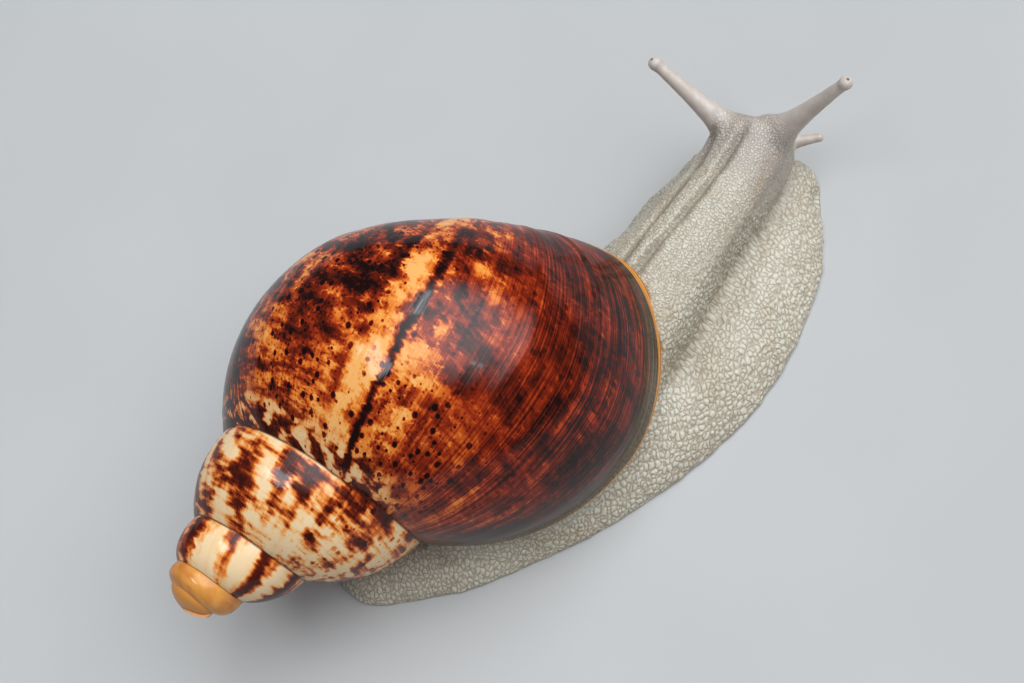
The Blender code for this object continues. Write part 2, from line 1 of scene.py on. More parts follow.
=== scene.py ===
"""Looks of the giant African land snail: glossy shell, one soft skin, eyes, floor, light, camera.

Everything is in metres in the frame of the solid model: sole on z = 0, head towards +X.
"""
import math

import bmesh
import bpy
import numpy as np
from mathutils import Matrix, Vector
from mathutils.bvhtree import BVHTree


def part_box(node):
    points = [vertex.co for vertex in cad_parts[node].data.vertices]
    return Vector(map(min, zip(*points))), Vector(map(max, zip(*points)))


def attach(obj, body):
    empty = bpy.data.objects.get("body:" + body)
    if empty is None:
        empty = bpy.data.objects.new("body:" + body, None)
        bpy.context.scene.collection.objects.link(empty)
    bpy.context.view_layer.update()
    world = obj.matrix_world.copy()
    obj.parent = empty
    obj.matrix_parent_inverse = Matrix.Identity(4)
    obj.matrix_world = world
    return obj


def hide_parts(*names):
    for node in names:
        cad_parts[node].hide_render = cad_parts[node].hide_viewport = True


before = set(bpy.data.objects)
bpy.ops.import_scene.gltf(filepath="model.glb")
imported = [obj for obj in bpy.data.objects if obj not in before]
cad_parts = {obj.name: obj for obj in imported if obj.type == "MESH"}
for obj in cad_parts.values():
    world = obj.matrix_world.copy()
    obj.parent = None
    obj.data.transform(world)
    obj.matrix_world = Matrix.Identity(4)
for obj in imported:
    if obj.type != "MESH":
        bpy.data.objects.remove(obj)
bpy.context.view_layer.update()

MM = 0.001
TAU = 2 * math.pi
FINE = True

# --- Shell: the spiral of the solid model, drawn finely ---
GROWTH = 1.816
TURNS = 4.08
COLUMNS_PER_TURN = 216 if FINE else 120
SPIRE_ROWS = 26 if FINE else 16
BODY_ROWS = 70 if FINE else 40
BASE_ROWS = 26 if FINE else 14
AXIS_POINT = (-108.1, 6.4, 50.5)
AXIS_LEFT = math.radians(10.8)
AXIS_DIP = math.radians(11.6)
LIP_ANGLE = math.radians(43.1)
TUBE_AXIS_RADIUS = 26.63
TUBE_REACH = 28.83
TUBE_SKEW = 0.167
TUBE_POWER = 1.566
TUBE_LEVEL = 114.7
TUBE_UP = 56.8
TUBE_DOWN = 42.5
SUTURE_UPPER = -1.308
SUTURE_LOWER = -0.105
COLUMELLA_RADIUS = 5.0
COLUMELLA_DROP = 16.0
COLUMELLA_HOLD = 0.55
LIP_LEAN = (-1.757, 2.502, -2.036)
LEAN_EASE = 0.86
LEAN_SPARE = 0.22
LEAN_SPAN = 3.6
NUB_LEVEL = 8.5
NUB_SWELL = 0.6
NUB_REACH = 12.0
NUB_POWER = 3.0
NUB_DOME = 2.1
AXIS_END = 117.0
COIL_LENGTH = 579.0                 # length of the last turns' growth at the lip, in millimetres

# --- Body: the lofts of the solid model, in millimetres ---
TAIL_TIP = (-75.0, 7.4)
FOOT_LENGTH = 168.9
HEADING_TAIL = math.radians(-10.0)
HEADING_FRONT = math.radians(21.6)
TURN_FROM = 45.0
TURN_TO = 133.0
FOOT_HALF_WIDTH = (
    (0, 10.5), (10, 13.8), (27, 20.2), (52, 24.4), (82, 28.0), (107, 31.3),
    (127, 30.6), (144, 26.9), (156, 20.6), (164, 16.4), (171, 14.4))
FOOT_HEIGHT = (
    (0, 5.0), (20, 9.0), (55, 12.5), (90, 14.0), (130, 13.0), (155, 11.0), (171, 7.0))
TAIL_ROUND = 9.0
FRONT_ROUND = 6.0
EDGE_HEIGHT = 1.2
EDGE_INSET = 0.965
CROWN_POWER = 2.3
CROWN_ROUND = 0.72
LEFT_TRIM = 0.15                    # the left side is narrower between these stations
TRIM_STATIONS = (110.0, 124.0, 150.0, 160.0)
NECK_STATIONS = (
    (-8, 2, 2, 22.0, 2.0, 9.0, 24.0),
    (14, 4, 8, 20.5, 2.0, 9.5, 26.5),
    (28, 5.6, 11, 19.0, 2.0, 10.5, 27.8),
    (42, 8.4, 12, 16.0, 2.0, 11.0, 28.4),
    (56, 11.2, 14, 13.6, 2.2, 11.5, 28.4),
    (68, 13.6, 22, 12.4, 2.6, 12.5, 27.8),
    (76, 16.6, 32, 11.8, 4.0, 14.0, 28.2),
    (82.4, 20.0, 39, 10.6, 6.0, 16.0, 28.6),
    (86.0, 22.9, 39, 8.8, 8.0, 17.0, 25.5))
SNOUT_ROUND = 7.0
NECK_POWER = 2.25
UPPER_SHAPE = (1.4, 3.1, 3.4, 1.85)     # radii: shaft at its tip and base, flare, knob
LOWER_SHAPE = (1.05, 2.5, 1.9, 1.25)
FEELERS = (                         # base, tip, shape and sides; the upper two come first
    ((78.3, 22.1, 22.5), (72.4, 44.7, 40.9), UPPER_SHAPE, 28),
    ((85.2, 14.5, 22.4), (101.4, 2.5, 44.8), UPPER_SHAPE, 28),
    ((82.4, 24.0, 12.5), (86.0, 31.6, 10.3), LOWER_SHAPE, 18),
    ((86.0, 15.6, 14.8), (96.6, 9.3, 13.2), LOWER_SHAPE, 18))
FEELER_ROOT = -0.3
FEELER_FADE = 0.16
TRUNK_BOTTOM = 4.0
PLUG_DEPTH = 15.0
SOLE_SPARE = 2.5
SNOUT_TURN = math.radians(39)
SNOUT_FRONT = np.array([87.6, 24.1])
SNOUT_AHEAD = np.array([math.cos(SNOUT_TURN), math.sin(SNOUT_TURN)])
SNOUT_ASIDE = np.array([-math.sin(SNOUT_TURN), math.cos(SNOUT_TURN)])
VOXEL = 0.52 if FINE else 0.9       # size of the remesh's cells
SHELL_GAP = 0.3 * MM                # clearance between the skin and the shell
KEEP_SIZE = (0.6, -0.62)            # smoothing in and out by turns, which hardly shrinks the mesh

# --- Camera: seen from above, over the animal's right side ---
CAMERA_PLACE = (-0.01647, -0.14681, 0.36932)
CAMERA_RIGHT = (0.765151, -0.594802, -0.246482)
CAMERA_DOWN = (-0.642492, -0.680523, -0.352268)
CAMERA_LENS = 52.92


# --- Small helpers ---

def smoothstep(x):
    x = np.clip(x, 0.0, 1.0)
    return x * x * (3.0 - 2.0 * x)


def rise(x, start, span):
    """From 0 at the start smoothly to 1 after the span, which is negative to go the other way."""
    return smoothstep((x - start) / span)


def bell(x, width):
    return np.exp(-(x / width) ** 2)


def mound(x, y, place, width):
    return np.exp(-((x - place[0]) ** 2 + (y - place[1]) ** 2) / width ** 2)


def spline(rows, x, column=1):
    """A smooth curve through the rows' values at x; rows start with their own x."""
    rows = np.asarray(rows, float)
    knots = rows[:, 0]
    values = rows[:, column]
    slopes = np.gradient(values, knots)
    x = np.clip(np.asarray(x, float), knots[0], knots[-1])
    k = np.clip(np.searchsorted(knots, x) - 1, 0, len(knots) - 2)
    width = knots[k + 1] - knots[k]
    t = (x - knots[k]) / width
    return ((1 + 2 * t) * (1 - t) ** 2 * values[k] + t * (1 - t) ** 2 * width * slopes[k]
            + t * t * (3 - 2 * t) * values[k + 1] + t * t * (t - 1) * width * slopes[k + 1])


def power(x, exponent):
    return np.sign(x) * np.abs(x) ** exponent


def ripple(x, seed):
    """Smooth one-dimensional noise between -1 and 1 with a wavelength of about 1."""
    values = np.random.default_rng(seed).uniform(-1, 1, 4096)
    cell = np.floor(x).astype(int)
    t = smoothstep(x - cell)
    return values[cell % 4096] * (1 - t) + values[(cell + 1) % 4096] * t


def new_object(name, data):
    made = bpy.data.objects.new(name, data)
    bpy.context.scene.collection.objects.link(made)
    return made


def new_mesh(name, verts, faces):
    mesh = bpy.data.meshes.new(name)
    mesh.from_pydata([tuple(v) for v in verts], [], [tuple(f) for f in faces])
    return new_object(name, mesh)


def applied(thing):
    """The object's mesh with its modifiers applied."""
    bpy.context.view_layer.update()
    return bpy.data.meshes.new_from_object(
        thing.evaluated_get(bpy.context.evaluated_depsgraph_get()))


def coords(mesh):
    flat = np.zeros(len(mesh.vertices) * 3)
    mesh.vertices.foreach_get("co", flat)
    return flat.reshape(-1, 3)


def set_coords(mesh, points):
    mesh.vertices.foreach_set("co", np.asarray(points, np.float32).ravel())
    mesh.update()


def vertex_normals(mesh):
    flat = np.zeros(len(mesh.vertices) * 3, np.float32)
    mesh.vertices.foreach_get("normal", flat)
    return flat.reshape(-1, 3).astype(float)


def set_attributes(mesh, **fields):
    """Stores numbers or vectors, one for each vertex or one for each face corner."""
    for name, values in fields.items():
        values = np.asarray(values, np.float32)
        vector = values.ndim > 1
        domain = "POINT" if len(values) == len(mesh.vertices) else "CORNER"
        made = mesh.attributes.new(name, "FLOAT_VECTOR" if vector else "FLOAT", domain)
        made.data.foreach_set("vector" if vector else "value", values.ravel())


# --- Shell form ---

def tube_section(psi):
    sine = np.sin(psi)
    bulge = TUBE_REACH * (1 - TUBE_SKEW * sine) * np.abs(np.cos(psi)) ** TUBE_POWER
    return TUBE_AXIS_RADIUS + bulge, TUBE_LEVEL + np.where(sine < 0, TUBE_UP, TUBE_DOWN) * sine


def lip_lean(share):
    eased = LEAN_EASE + LEAN_SPARE * np.tanh((share - LEAN_EASE) / LEAN_SPARE)
    share = np.where(share > LEAN_EASE, eased, share)
    return sum(c * share ** (k + 1) for k, c in enumerate(LIP_LEAN))


def shell_rows():
    """Radius, level, lean, hold and distance from the suture of the section's points."""
    psi = np.concatenate([np.linspace(SUTURE_UPPER, SUTURE_LOWER, SPIRE_ROWS),
                          np.linspace(SUTURE_LOWER, math.pi / 2, BODY_ROWS + 1)[1:]])
    radius, level = tube_section(psi)
    lean = lip_lean((psi - SUTURE_UPPER) / (math.pi / 2 - SUTURE_UPPER))
    turn = np.linspace(0, math.pi / 2, BASE_ROWS + 1)[1:]
    share = turn / (math.pi / 2)
    radius = np.append(radius, TUBE_AXIS_RADIUS - (TUBE_AXIS_RADIUS - COLUMELLA_RADIUS) * np.sin(turn))
    level = np.append(level, TUBE_LEVEL + TUBE_DOWN - COLUMELLA_DROP * (1 - np.cos(turn)))
    lean = np.append(lean, lip_lean(1 + share))
    hold = np.append(np.zeros(len(psi)), share)
    steps = np.hypot(np.diff(radius), np.diff(level))
    return radius, level, lean, hold, np.append(0, np.cumsum(steps))


def shell_matrix():
    axis = Vector((math.cos(AXIS_DIP) * math.cos(AXIS_LEFT),
                   math.cos(AXIS_DIP) * math.sin(AXIS_LEFT), -math.sin(AXIS_DIP)))
    right = Vector((axis.y, -axis.x, 0)).normalized()
    return np.array(Matrix((right, axis.cross(right), axis)).transposed())


def shell_points(angle, radius, level, hold):
    """Points of the spiral, in millimetres; angle is the growth angle before (-) the lip."""
    size = GROWTH ** (angle / TAU)
    radius = radius * size
    level = level * size ** (1 - COLUMELLA_HOLD * hold)
    radius = radius * (1 + NUB_SWELL * np.exp(-(level / NUB_REACH) ** 2))
    level = (level ** NUB_POWER + NUB_LEVEL ** NUB_POWER) ** (1 / NUB_POWER)
    around = LIP_ANGLE + angle
    local = np.stack([radius * np.cos(around), radius * np.sin(around), level], -1)
    return local @ shell_matrix().T + np.array(AXIS_POINT)


def strip(row_a, row_b):
    """Triangles between two rows of vertex numbers that may differ in count."""
    faces = []
    i = j = 0
    while i < len(row_a) - 1 or j < len(row_b) - 1:
        step_a = (i + 1) / max(len(row_a) - 1, 1) if i < len(row_a) - 1 else 9.0
        step_b = (j + 1) / max(len(row_b) - 1, 1) if j < len(row_b) - 1 else 9.0
        if step_a <= step_b:
            corner = (row_a[i], row_a[i + 1], row_b[j])
            i += 1
        else:
            corner = (row_a[i], row_b[j + 1], row_b[j])
            j += 1
        if len(set(corner)) == 3:
            faces.append(corner)
    return faces


# rows of the mouth's inner wall: the inset from the lip is the lesser or the greater of a depth in
# millimetres and a share of the way across, at an angle behind the lip in radians
MOUTH_PROFILE = (
    (np.minimum, 0.35, 0.1, -0.003), (np.minimum, 0.8, 0.2, 0.0), (np.minimum, 1.1, 0.25, 0.01),
    (np.minimum, 1.5, 0.3, 0.08), (np.minimum, 2.2, 0.35, 0.16), (np.maximum, 4.0, 0.15, 0.25),
    (np.maximum, 0.0, 0.45, 0.26), (np.maximum, 0.0, 0.75, 0.16))


def build_shell():
    """The shell's object, with its own surface coordinates on the face corners, and its mouth."""
    radius, level, lean, hold, across = shell_rows()
    rows = len(radius)
    last = int(TURNS * COLUMNS_PER_TURN)
    angle = (np.arange(last + 1) - last)[:, None] / COLUMNS_PER_TURN * TAU
    ramp = smoothstep(1 + angle / LEAN_SPAN)
    total = angle + lean * ramp
    points = shell_points(total, radius, level, hold)
    growth = angle + lean * (ramp - 1)
    size = GROWTH ** (total / TAU)
    along = COIL_LENGTH * GROWTH ** (growth / TAU)
    section = across * size
    spire_end = across[SPIRE_ROWS - 1] * size
    is_last = np.arange(last + 1)[:, None] >= last - COLUMNS_PER_TURN
    edge = np.where(is_last, section, np.minimum(section, np.abs(spire_end - section)))

    number = np.full((last + 1, rows), -1)
    verts = []
    for i in range(last + 1):
        count = rows if i >= last - COLUMNS_PER_TURN else SPIRE_ROWS
        start = 1 if i >= COLUMNS_PER_TURN else 0
        if start:
            number[i, 0] = number[i - COLUMNS_PER_TURN, SPIRE_ROWS - 1]
        number[i, start:count] = np.arange(count - start) + len(verts)
        verts.extend(points[i, start:count])
    faces = []
    marks = []                      # for each face, its corners' places in the grid

    def add(face, places):
        faces.append(face)
        marks.append(places)

    for i in range(last):
        count = rows if i >= last - COLUMNS_PER_TURN else SPIRE_ROWS
        for j in range(count - 1):
            places = ((i, j), (i + 1, j), (i + 1, j + 1), (i, j + 1))
            add(tuple(int(number[p]) for p in places), places)

    def fan(ring, place, tip):
        for a, b in zip(ring, ring[1:]):
            add((int(a), int(b), tip), (place,) * 3)

    def put(point):
        verts.append(np.asarray(point, float))
        return len(verts) - 1

    matrix = shell_matrix()
    crown = list(number[0, SPIRE_ROWS - 1::-1]) + list(number[1:COLUMNS_PER_TURN + 1, 0])
    ring = np.array([verts[k] for k in crown[:-1]])
    middle = matrix @ np.array([0, 0, NUB_LEVEL + 0.4]) + AXIS_POINT
    for turn in np.linspace(0, math.pi / 2, 7)[1:-1]:
        capped = middle + (ring - middle) * math.cos(turn)
        capped = capped - matrix[:, 2] * (NUB_DOME * math.sin(turn))
        inner = [put(point) for point in capped]
        inner.append(inner[0])
        for k in range(len(ring)):
            add((int(crown[k]), int(crown[k + 1]), inner[k + 1], inner[k]), ((0, SPIRE_ROWS // 2),) * 4)
        crown = inner
    fan(crown, (0, SPIRE_ROWS // 2), put(middle - matrix[:, 2] * NUB_DOME))
    axis_end = put(matrix @ np.array([0, 0, AXIS_END]) + AXIS_POINT)
    fan(list(number[last - COLUMNS_PER_TURN:, rows - 1]), (last, rows - 1), axis_end)

    # the mouth: a thin rim, then the inner wall, then a floor hidden behind the body
    lip = [int(k) for k in number[last]] + [axis_end]
    wall = [int(k) for k in number[last - COLUMNS_PER_TURN, SPIRE_ROWS - 1:]] + [axis_end]
    wall_points = np.array([verts[k] for k in wall])
    share = np.arange(len(lip)) / (len(lip) - 1)
    wall_at = np.stack([np.interp(share, np.linspace(0, 1, len(wall)), wall_points[:, c])
                        for c in range(3)], -1)
    ends = np.sin(math.pi * share) ** 0.5

    def mouth_row(limit, depth, part, back):
        start = shell_points(-back * ends[:rows] + lean, radius, level, hold)
        reach = wall_at[:rows] - start
        span = np.maximum(np.linalg.norm(reach, axis=1), 1e-3)
        inset = np.minimum(limit(depth, part * span), 0.9 * span)
        start = start + reach * (inset / span)[:, None]
        return [lip[0]] + [put(p) for p in start[1:]] + [lip[-1]]

    previous = lip
    inner_from = len(faces)
    for row in [mouth_row(*values) for values in MOUTH_PROFILE] + [wall]:
        for face in strip(previous, row):
            add(face, ((last, rows // 2),) * len(face))
        previous = row

    made = new_mesh("shell_skin", np.array(verts) * MM, faces)
    mesh = made.data
    i, j = np.array([place for places in marks for place in places]).T
    within = np.repeat(np.arange(len(faces)) >= inner_from, [len(face) for face in faces])
    set_attributes(mesh, lie=np.stack([along[i, j], section[i, j], np.zeros(len(i))], -1),
                   growth=growth[i, j], edge=edge[i, j], inside=within)

    # growth relief: fine rings and slow swells that follow the lines of growth
    relief = np.zeros(len(verts))
    seen = number >= 0
    rings = along[seen]
    fade = rise(growth[seen], 0, -0.04) * rise(growth[seen], -17.5, 2)
    relief[number[seen]] = fade * (0.05 * ripple(rings / 1.3, 1) + 0.10 * ripple(rings / 6.0, 2)
                                   + 0.14 * ripple(rings / 17.0, 3))
    formed = coords(mesh) + vertex_normals(mesh) * (relief * MM)[:, None]
    apex = middle - matrix[:, 2] * NUB_DOME
    near_apex = np.linalg.norm(formed / MM - apex, axis=1)
    formed = Relax(mesh).smooth(formed, 16, rise(near_apex, 7.0, -4.0))
    set_coords(mesh, formed)
    mesh.shade_smooth()
    mesh.set_sharp_from_angle(angle=math.radians(38))
    mouth = ([np.array(verts[k]) for k in lip[:-1]], [np.array(verts[k]) for k in wall[1:]])
    return made, mouth


# --- Body form ---

def loft(rings):
    """Vertices and faces of a closed tube through equal rings, closed by a fan at each end."""
    rings = [np.asarray(ring, float) for ring in rings]
    count = len(rings[0])
    verts = [p for ring in rings for p in ring]
    faces = []
    for r in range(len(rings) - 1):
        for k in range(count):
            nxt = (k + 1) % count
            faces.append((r * count + k, r * count + nxt,
                          (r + 1) * count + nxt, (r + 1) * count + k))
    for ring, start in ((rings[0], 0), (rings[-1], (len(rings) - 1) * count)):
        verts.append(ring.mean(0))
        faces += [(start + k, start + (k + 1) % count, len(verts) - 1) for k in range(count)]
    return verts, faces


def foot_heading(station):
    turned = rise(station, TURN_FROM, TURN_TO - TURN_FROM)
    return HEADING_TAIL + (HEADING_FRONT - HEADING_TAIL) * turned


def foot_path():
    """Stations along the centre line, with the points and headings there."""
    stations = np.linspace(0, FOOT_LENGTH, 683)
    middle = (stations[1:] + stations[:-1]) / 2
    step = stations[1] - stations[0]
    heading = foot_heading(middle)
    x = TAIL_TIP[0] + np.append(0, np.cumsum(np.cos(heading) * step))
    y = TAIL_TIP[1] + np.append(0, np.cumsum(np.sin(heading) * step))
    return stations, np.stack([x, y], -1), foot_heading(stations)


PATH_STATIONS, PATH_POINTS, PATH_HEADINGS = foot_path()


def foot_centre(station):
    return [float(np.interp(station, PATH_STATIONS, PATH_POINTS[:, c])) for c in range(2)]


def left_share(station):
    """Width of the foot's left side as a share of its right side's."""
    start, full, over, end = TRIM_STATIONS
    return 1 - LEFT_TRIM * float(rise(station, start, full - start)
                                 * rise(station, end, over - end))


def foot_ring(station, segments=96):
    x, y = foot_centre(station)
    heading = float(foot_heading(station))
    tail = min(station / TAIL_ROUND, 1.0)
    front = min((FOOT_LENGTH - station) / FRONT_ROUND, 1.0)
    rounding = math.sqrt(1 - (1 - tail) ** 2) * math.sqrt(1 - (1 - front) ** 2)
    half = float(spline(FOOT_HALF_WIDTH, station)) * rounding
    crown = EDGE_HEIGHT + (float(spline(FOOT_HEIGHT, station)) - EDGE_HEIGHT) * rounding
    share = np.cos(math.pi * np.arange(segments + 1) / segments)
    arch = (1 - np.abs(share) ** CROWN_POWER) ** CROWN_ROUND
    n = np.append(share * half, np.linspace(-EDGE_INSET, EDGE_INSET, 17) * half)
    n = np.where(n > 0, n * left_share(station), n)
    z = np.append(EDGE_HEIGHT + (crown - EDGE_HEIGHT) * arch, np.full(17, -SOLE_SPARE))
    return np.stack([x - math.sin(heading) * n, y + math.cos(heading) * n, z], -1)


def foot_rings():
    ends = 16
    tail = [TAIL_ROUND * (1 - math.cos(math.pi / 2 * k / ends)) for k in range(1, ends + 1)]
    front = [FOOT_LENGTH - FRONT_ROUND * (1 - math.cos(math.pi / 2 * k / ends))
             for k in range(ends, 0, -1)]
    middle = list(np.linspace(tail[-1], front[0], 110)[1:-1])
    return [foot_ring(s) for s in [0.02] + tail + middle + front + [FOOT_LENGTH - 0.02]]


def neck_rings(segments=96):
    """Rings from inside the shell's mouth to the snout."""
    table = np.asarray(NECK_STATIONS, float)
    path = np.append(0, np.cumsum(np.hypot(*np.diff(table[:, :2], axis=0).T)))
    rows = np.column_stack([path, table])
    length = path[-1]
    along = list(np.linspace(0, length - SNOUT_ROUND, 80))
    along += [length - SNOUT_ROUND * (1 - math.sin(math.pi / 2 * k / 14)) for k in range(1, 14)]
    along.append(length - 0.02)
    angle = TAU * np.arange(segments) / segments
    rings = []
    for s in along:
        x, y, heading, half, low, level, top = (float(spline(rows, s, c)) for c in range(1, 8))
        heading = math.radians(heading)
        past = max(0.0, (s - (length - SNOUT_ROUND)) / SNOUT_ROUND)
        shrink = math.sqrt(max(1 - past ** 2, 0.0))
        n = half * shrink * power(np.cos(angle), 2 / NECK_POWER)
        lift = power(np.sin(angle), 2 / NECK_POWER)
        z = level + shrink * np.where(lift > 0, lift * (top - level), lift * (level - low))
        rings.append(np.stack([x - math.sin(heading) * n, y + math.cos(heading) * n, z], -1))
    return rings


def foot_place(points):
    """Station, distance to the left and heading of points over the foot's centre line."""
    points = np.asarray(points, float)
    near = np.zeros(len(points), int)
    for start in range(0, len(points), 20000):
        part = points[start:start + 20000, :2]
        gap = ((part[:, None, :] - PATH_POINTS[None]) ** 2).sum(-1)
        near[start:start + 20000] = gap.argmin(1)
    heading = PATH_HEADINGS[near]
    offset = points[:, :2] - PATH_POINTS[near]
    left = -np.sin(heading) * offset[:, 0] + np.cos(heading) * offset[:, 1]
    ahead = np.cos(heading) * offset[:, 0] + np.sin(heading) * offset[:, 1]
    return PATH_STATIONS[near] + ahead, left, heading


def inside_foot(points, share):
    """Points drawn in towards the centre line where they lie outside a share of the width."""
    station, left, heading = foot_place(points)
    limit = spline(FOOT_HALF_WIDTH, station) * share
    excess = left - np.clip(left, -limit, limit)
    moved = np.array(points, float)
    moved[:, 0] += np.sin(heading) * excess
    moved[:, 1] -= np.cos(heading) * excess
    return moved


def mouth_loop(mouth):
    """The mouth's outline as evenly spaced points, and the way into the shell."""
    lip, wall = (np.array(side) for side in mouth)
    count = min(len(lip) - 1, 90)
    pick = np.linspace(0, len(lip) - 1, count).astype(int)
    back = np.linspace(len(wall) - 1, 0, count).astype(int)
    loop = np.concatenate([lip[pick], wall[back][1:]])
    outer = lip[:SPIRE_ROWS + BODY_ROWS]
    centre = outer.mean(0)
    inward = np.cross(outer[:-1] - centre, outer[1:] - centre).sum(0)
    inward /= np.linalg.norm(inward)
    return loop, inward if inward[2] > 0 else -inward


def trunk_rings(mouth):
    """The body between the foot and the shell's mouth, ending inside the mouth."""
    loop, inward = mouth_loop(mouth)
    middle = loop.mean(0)
    high = middle + (loop - middle) * 0.94 - inward * 1.0
    sole = inside_foot(middle + (loop - middle) * 1.2, 0.93)
    rings = []
    for share in np.linspace(0, 1, 24):
        ring = high + (sole - high) * (1 - share) ** 2.2
        ring[:, 2] = TRUNK_BOTTOM + (high[:, 2] - TRUNK_BOTTOM) * share
        rings.append(ring)
    for scale, lift in ((0.93, 0.4 * PLUG_DEPTH), (0.7, PLUG_DEPTH)):
        rings.append(middle + (loop - middle) * scale + inward * lift)
    return rings


def feeler_radius(share, shape):
    tip, base, flare = shape[:3]
    past = max(share, 0.0)
    radius = tip + (base - tip) * (1 - past) ** 1.3 + flare * math.exp(-past / FEELER_FADE)
    buried = min(share / FEELER_ROOT, 1.0) if share < 0 else 0.0
    return radius * math.sqrt(1 - 0.98 * buried ** 2)


def feeler_rings(base, tip, shape, segments):
    base = np.array(base, float)
    along = np.array(tip, float) - base
    length = np.linalg.norm(along)
    along /= length
    side = np.cross(along, (0, 0, 1))
    side /= np.linalg.norm(side)
    up = np.cross(side, along)
    knob = shape[3]
    knob_from = 1 - 2 * knob / length
    shares = list(np.linspace(FEELER_ROOT, knob_from, 46))
    shares += [1 - knob / length * (1 + math.cos(math.pi * k / 14)) for k in range(1, 14)]
    shares.append(1 - 0.02 * knob / length)
    angle = TAU * np.arange(segments) / segments
    rings = []
    for share in shares:
        radius = feeler_radius(share, shape)
        if share > knob_from:
            off = (share - 1) * length + knob
            ball = math.sqrt(max(knob ** 2 - off ** 2, 0.0))
            radius = max(radius, ball) if off < 0 else ball
        centre = base + along * (share * length)
        rings.append(centre + (np.cos(angle)[:, None] * side + np.sin(angle)[:, None] * up) * radius)
    return rings


def blob(centre, radii, heading, segments=20):
    """An egg-shaped lump, turned to a heading."""
    rings = []
    for polar in np.linspace(0.05, math.pi - 0.05, 14):
        angle = TAU * np.arange(segments) / segments
        x = radii[0] * np.sin(polar) * np.cos(angle)
        y = radii[1] * np.sin(polar) * np.sin(angle)
        z = radii[2] * np.cos(polar) * np.ones(segments)
        rings.append(np.stack([centre[0] + math.cos(heading) * x - math.sin(heading) * y,
                               centre[1] + math.sin(heading) * x + math.cos(heading) * y,
                               centre[2] + z], -1))
    return rings


def remeshed(lofts):
    """A fine voxel mesh round the overlapping lofts."""
    verts = []
    faces = []
    for points, corners in lofts:
        faces += [tuple(k + len(verts) for k in face) for face in corners]
        verts += list(points)
    raw = new_mesh("flesh_raw", np.array(verts) * MM, faces)
    work = bmesh.new()
    work.from_mesh(raw.data)
    bmesh.ops.recalc_face_normals(work, faces=work.faces)
    work.to_mesh(raw.data)
    work.free()
    step = raw.modifiers.new("blend", "REMESH")
    step.mode = "VOXEL"
    step.voxel_size = VOXEL * MM
    mesh = applied(raw)
    bpy.data.objects.remove(raw)
    return mesh


class Relax:
    """Moves vertices towards the average of their neighbours."""

    def __init__(self, mesh):
        edges = np.zeros(len(mesh.edges) * 2, int)
        mesh.edges.foreach_get("vertices", edges)
        self.a, self.b = edges.reshape(-1, 2).T
        self.count = len(mesh.vertices)
        ones = np.ones(len(self.a))
        degree = np.bincount(self.a, ones, self.count) + np.bincount(self.b, ones, self.count)
        self.degree = np.maximum(degree, 1)

    def average(self, values):
        total = np.empty_like(values)
        for c in range(values.shape[1]):
            total[:, c] = (np.bincount(self.a, values[self.b, c], self.count)
                           + np.bincount(self.b, values[self.a, c], self.count))
        return total / self.degree[:, None]

    def smooth(self, points, rounds, weight, factors=(0.5,)):
        """Weight is one number for each vertex, and factors are applied by turns in each round."""
        for _ in range(rounds):
            for factor in factors:
                points = points + factor * weight[:, None] * (self.average(points) - points)
        return points


def drop_specks(work):
    """Keeps the largest piece only: the remesh can leave a closed speck of hollow inside."""
    left = set(work.verts)
    pieces = []
    while left:
        piece = [left.pop()]
        for vert in piece:
            for edge in vert.link_edges:
                other = edge.other_vert(vert)
                if other in left:
                    left.remove(other)
                    piece.append(other)
        pieces.append(piece)
    pieces.sort(key=len)
    bmesh.ops.delete(work, geom=sum(pieces[:-1], []), context="VERTS")


def flat_cut(mesh):
    """Cuts the mesh at the floor and closes it with a flat sole."""
    work = bmesh.new()
    work.from_mesh(mesh)
    drop_specks(work)
    everything = work.verts[:] + work.edges[:] + work.faces[:]
    bmesh.ops.bisect_plane(work, geom=everything, dist=0.0005 * MM, plane_co=(0, 0, 0),
                           plane_no=(0, 0, 1), clear_inner=True)
    rim = [edge for edge in work.edges if edge.is_boundary]
    bmesh.ops.triangle_fill(work, use_beauty=True, use_dissolve=False, edges=rim)
    bmesh.ops.recalc_face_normals(work, faces=work.faces)
    work.to_mesh(mesh)
    work.free()


def distance_to_line(points, line):
    """Distance in plan from points to a line of corners, and how far along it, from 0 to 1."""
    line = np.asarray(line, float)
    steps = np.linalg.norm(np.diff(line, axis=0), axis=1)
    starts = np.append(0, np.cumsum(steps))
    best = np.full(len(points), 1e9)
    along = np.zeros(len(points))
    for k, step in enumerate(steps):
        way = (line[k + 1] - line[k]) / step
        t = np.clip((points[:, :2] - line[k]) @ way, 0, step)
        gap = np.linalg.norm(points[:, :2] - line[k] - t[:, None] * way, axis=1)
        closer = gap < best
        best[closer] = gap[closer]
        along[closer] = ((starts[k] + t) / starts[-1])[closer]
    return best, along


# Long folds of the back, as corners in plan: (x, y); then width and depth, in millimetres
FOLDS = (
    (((81.5, 20.2), (78.5, 18.1), (70.6, 15.8), (59.5, 12.8), (52.5, 11.3),
      (41.5, 9.3), (28.0, 6.5)), 0.95, 1.3),
    (((77.0, 25.6), (66.0, 21.2), (56.1, 18.4), (46.2, 15.8), (36.4, 13.4), (26.0, 11.0)), 0.9, 0.7))
TROUGH = ((86.5, 9.6), (80.4, 6.0), (71.6, 2.0), (63.6, -0.8), (52.0, -5.6), (40.0, -11.0),
          (28.0, -15.4))


def is_within(point, tree):
    """Whether a point lies inside the closed surface of the tree."""
    way = Vector((0.31, 0.22, 0.925)).normalized()
    hits = 0
    start = point
    while hits < 24:
        place = tree.ray_cast(start, way)[0]
        if place is None:
            break
        hits += 1
        start = place + way * 1e-6
    return hits % 2 == 1


def tree_of(mesh, polygons):
    return BVHTree.FromPolygons([v.co for v in mesh.vertices], [p.vertices for p in polygons])


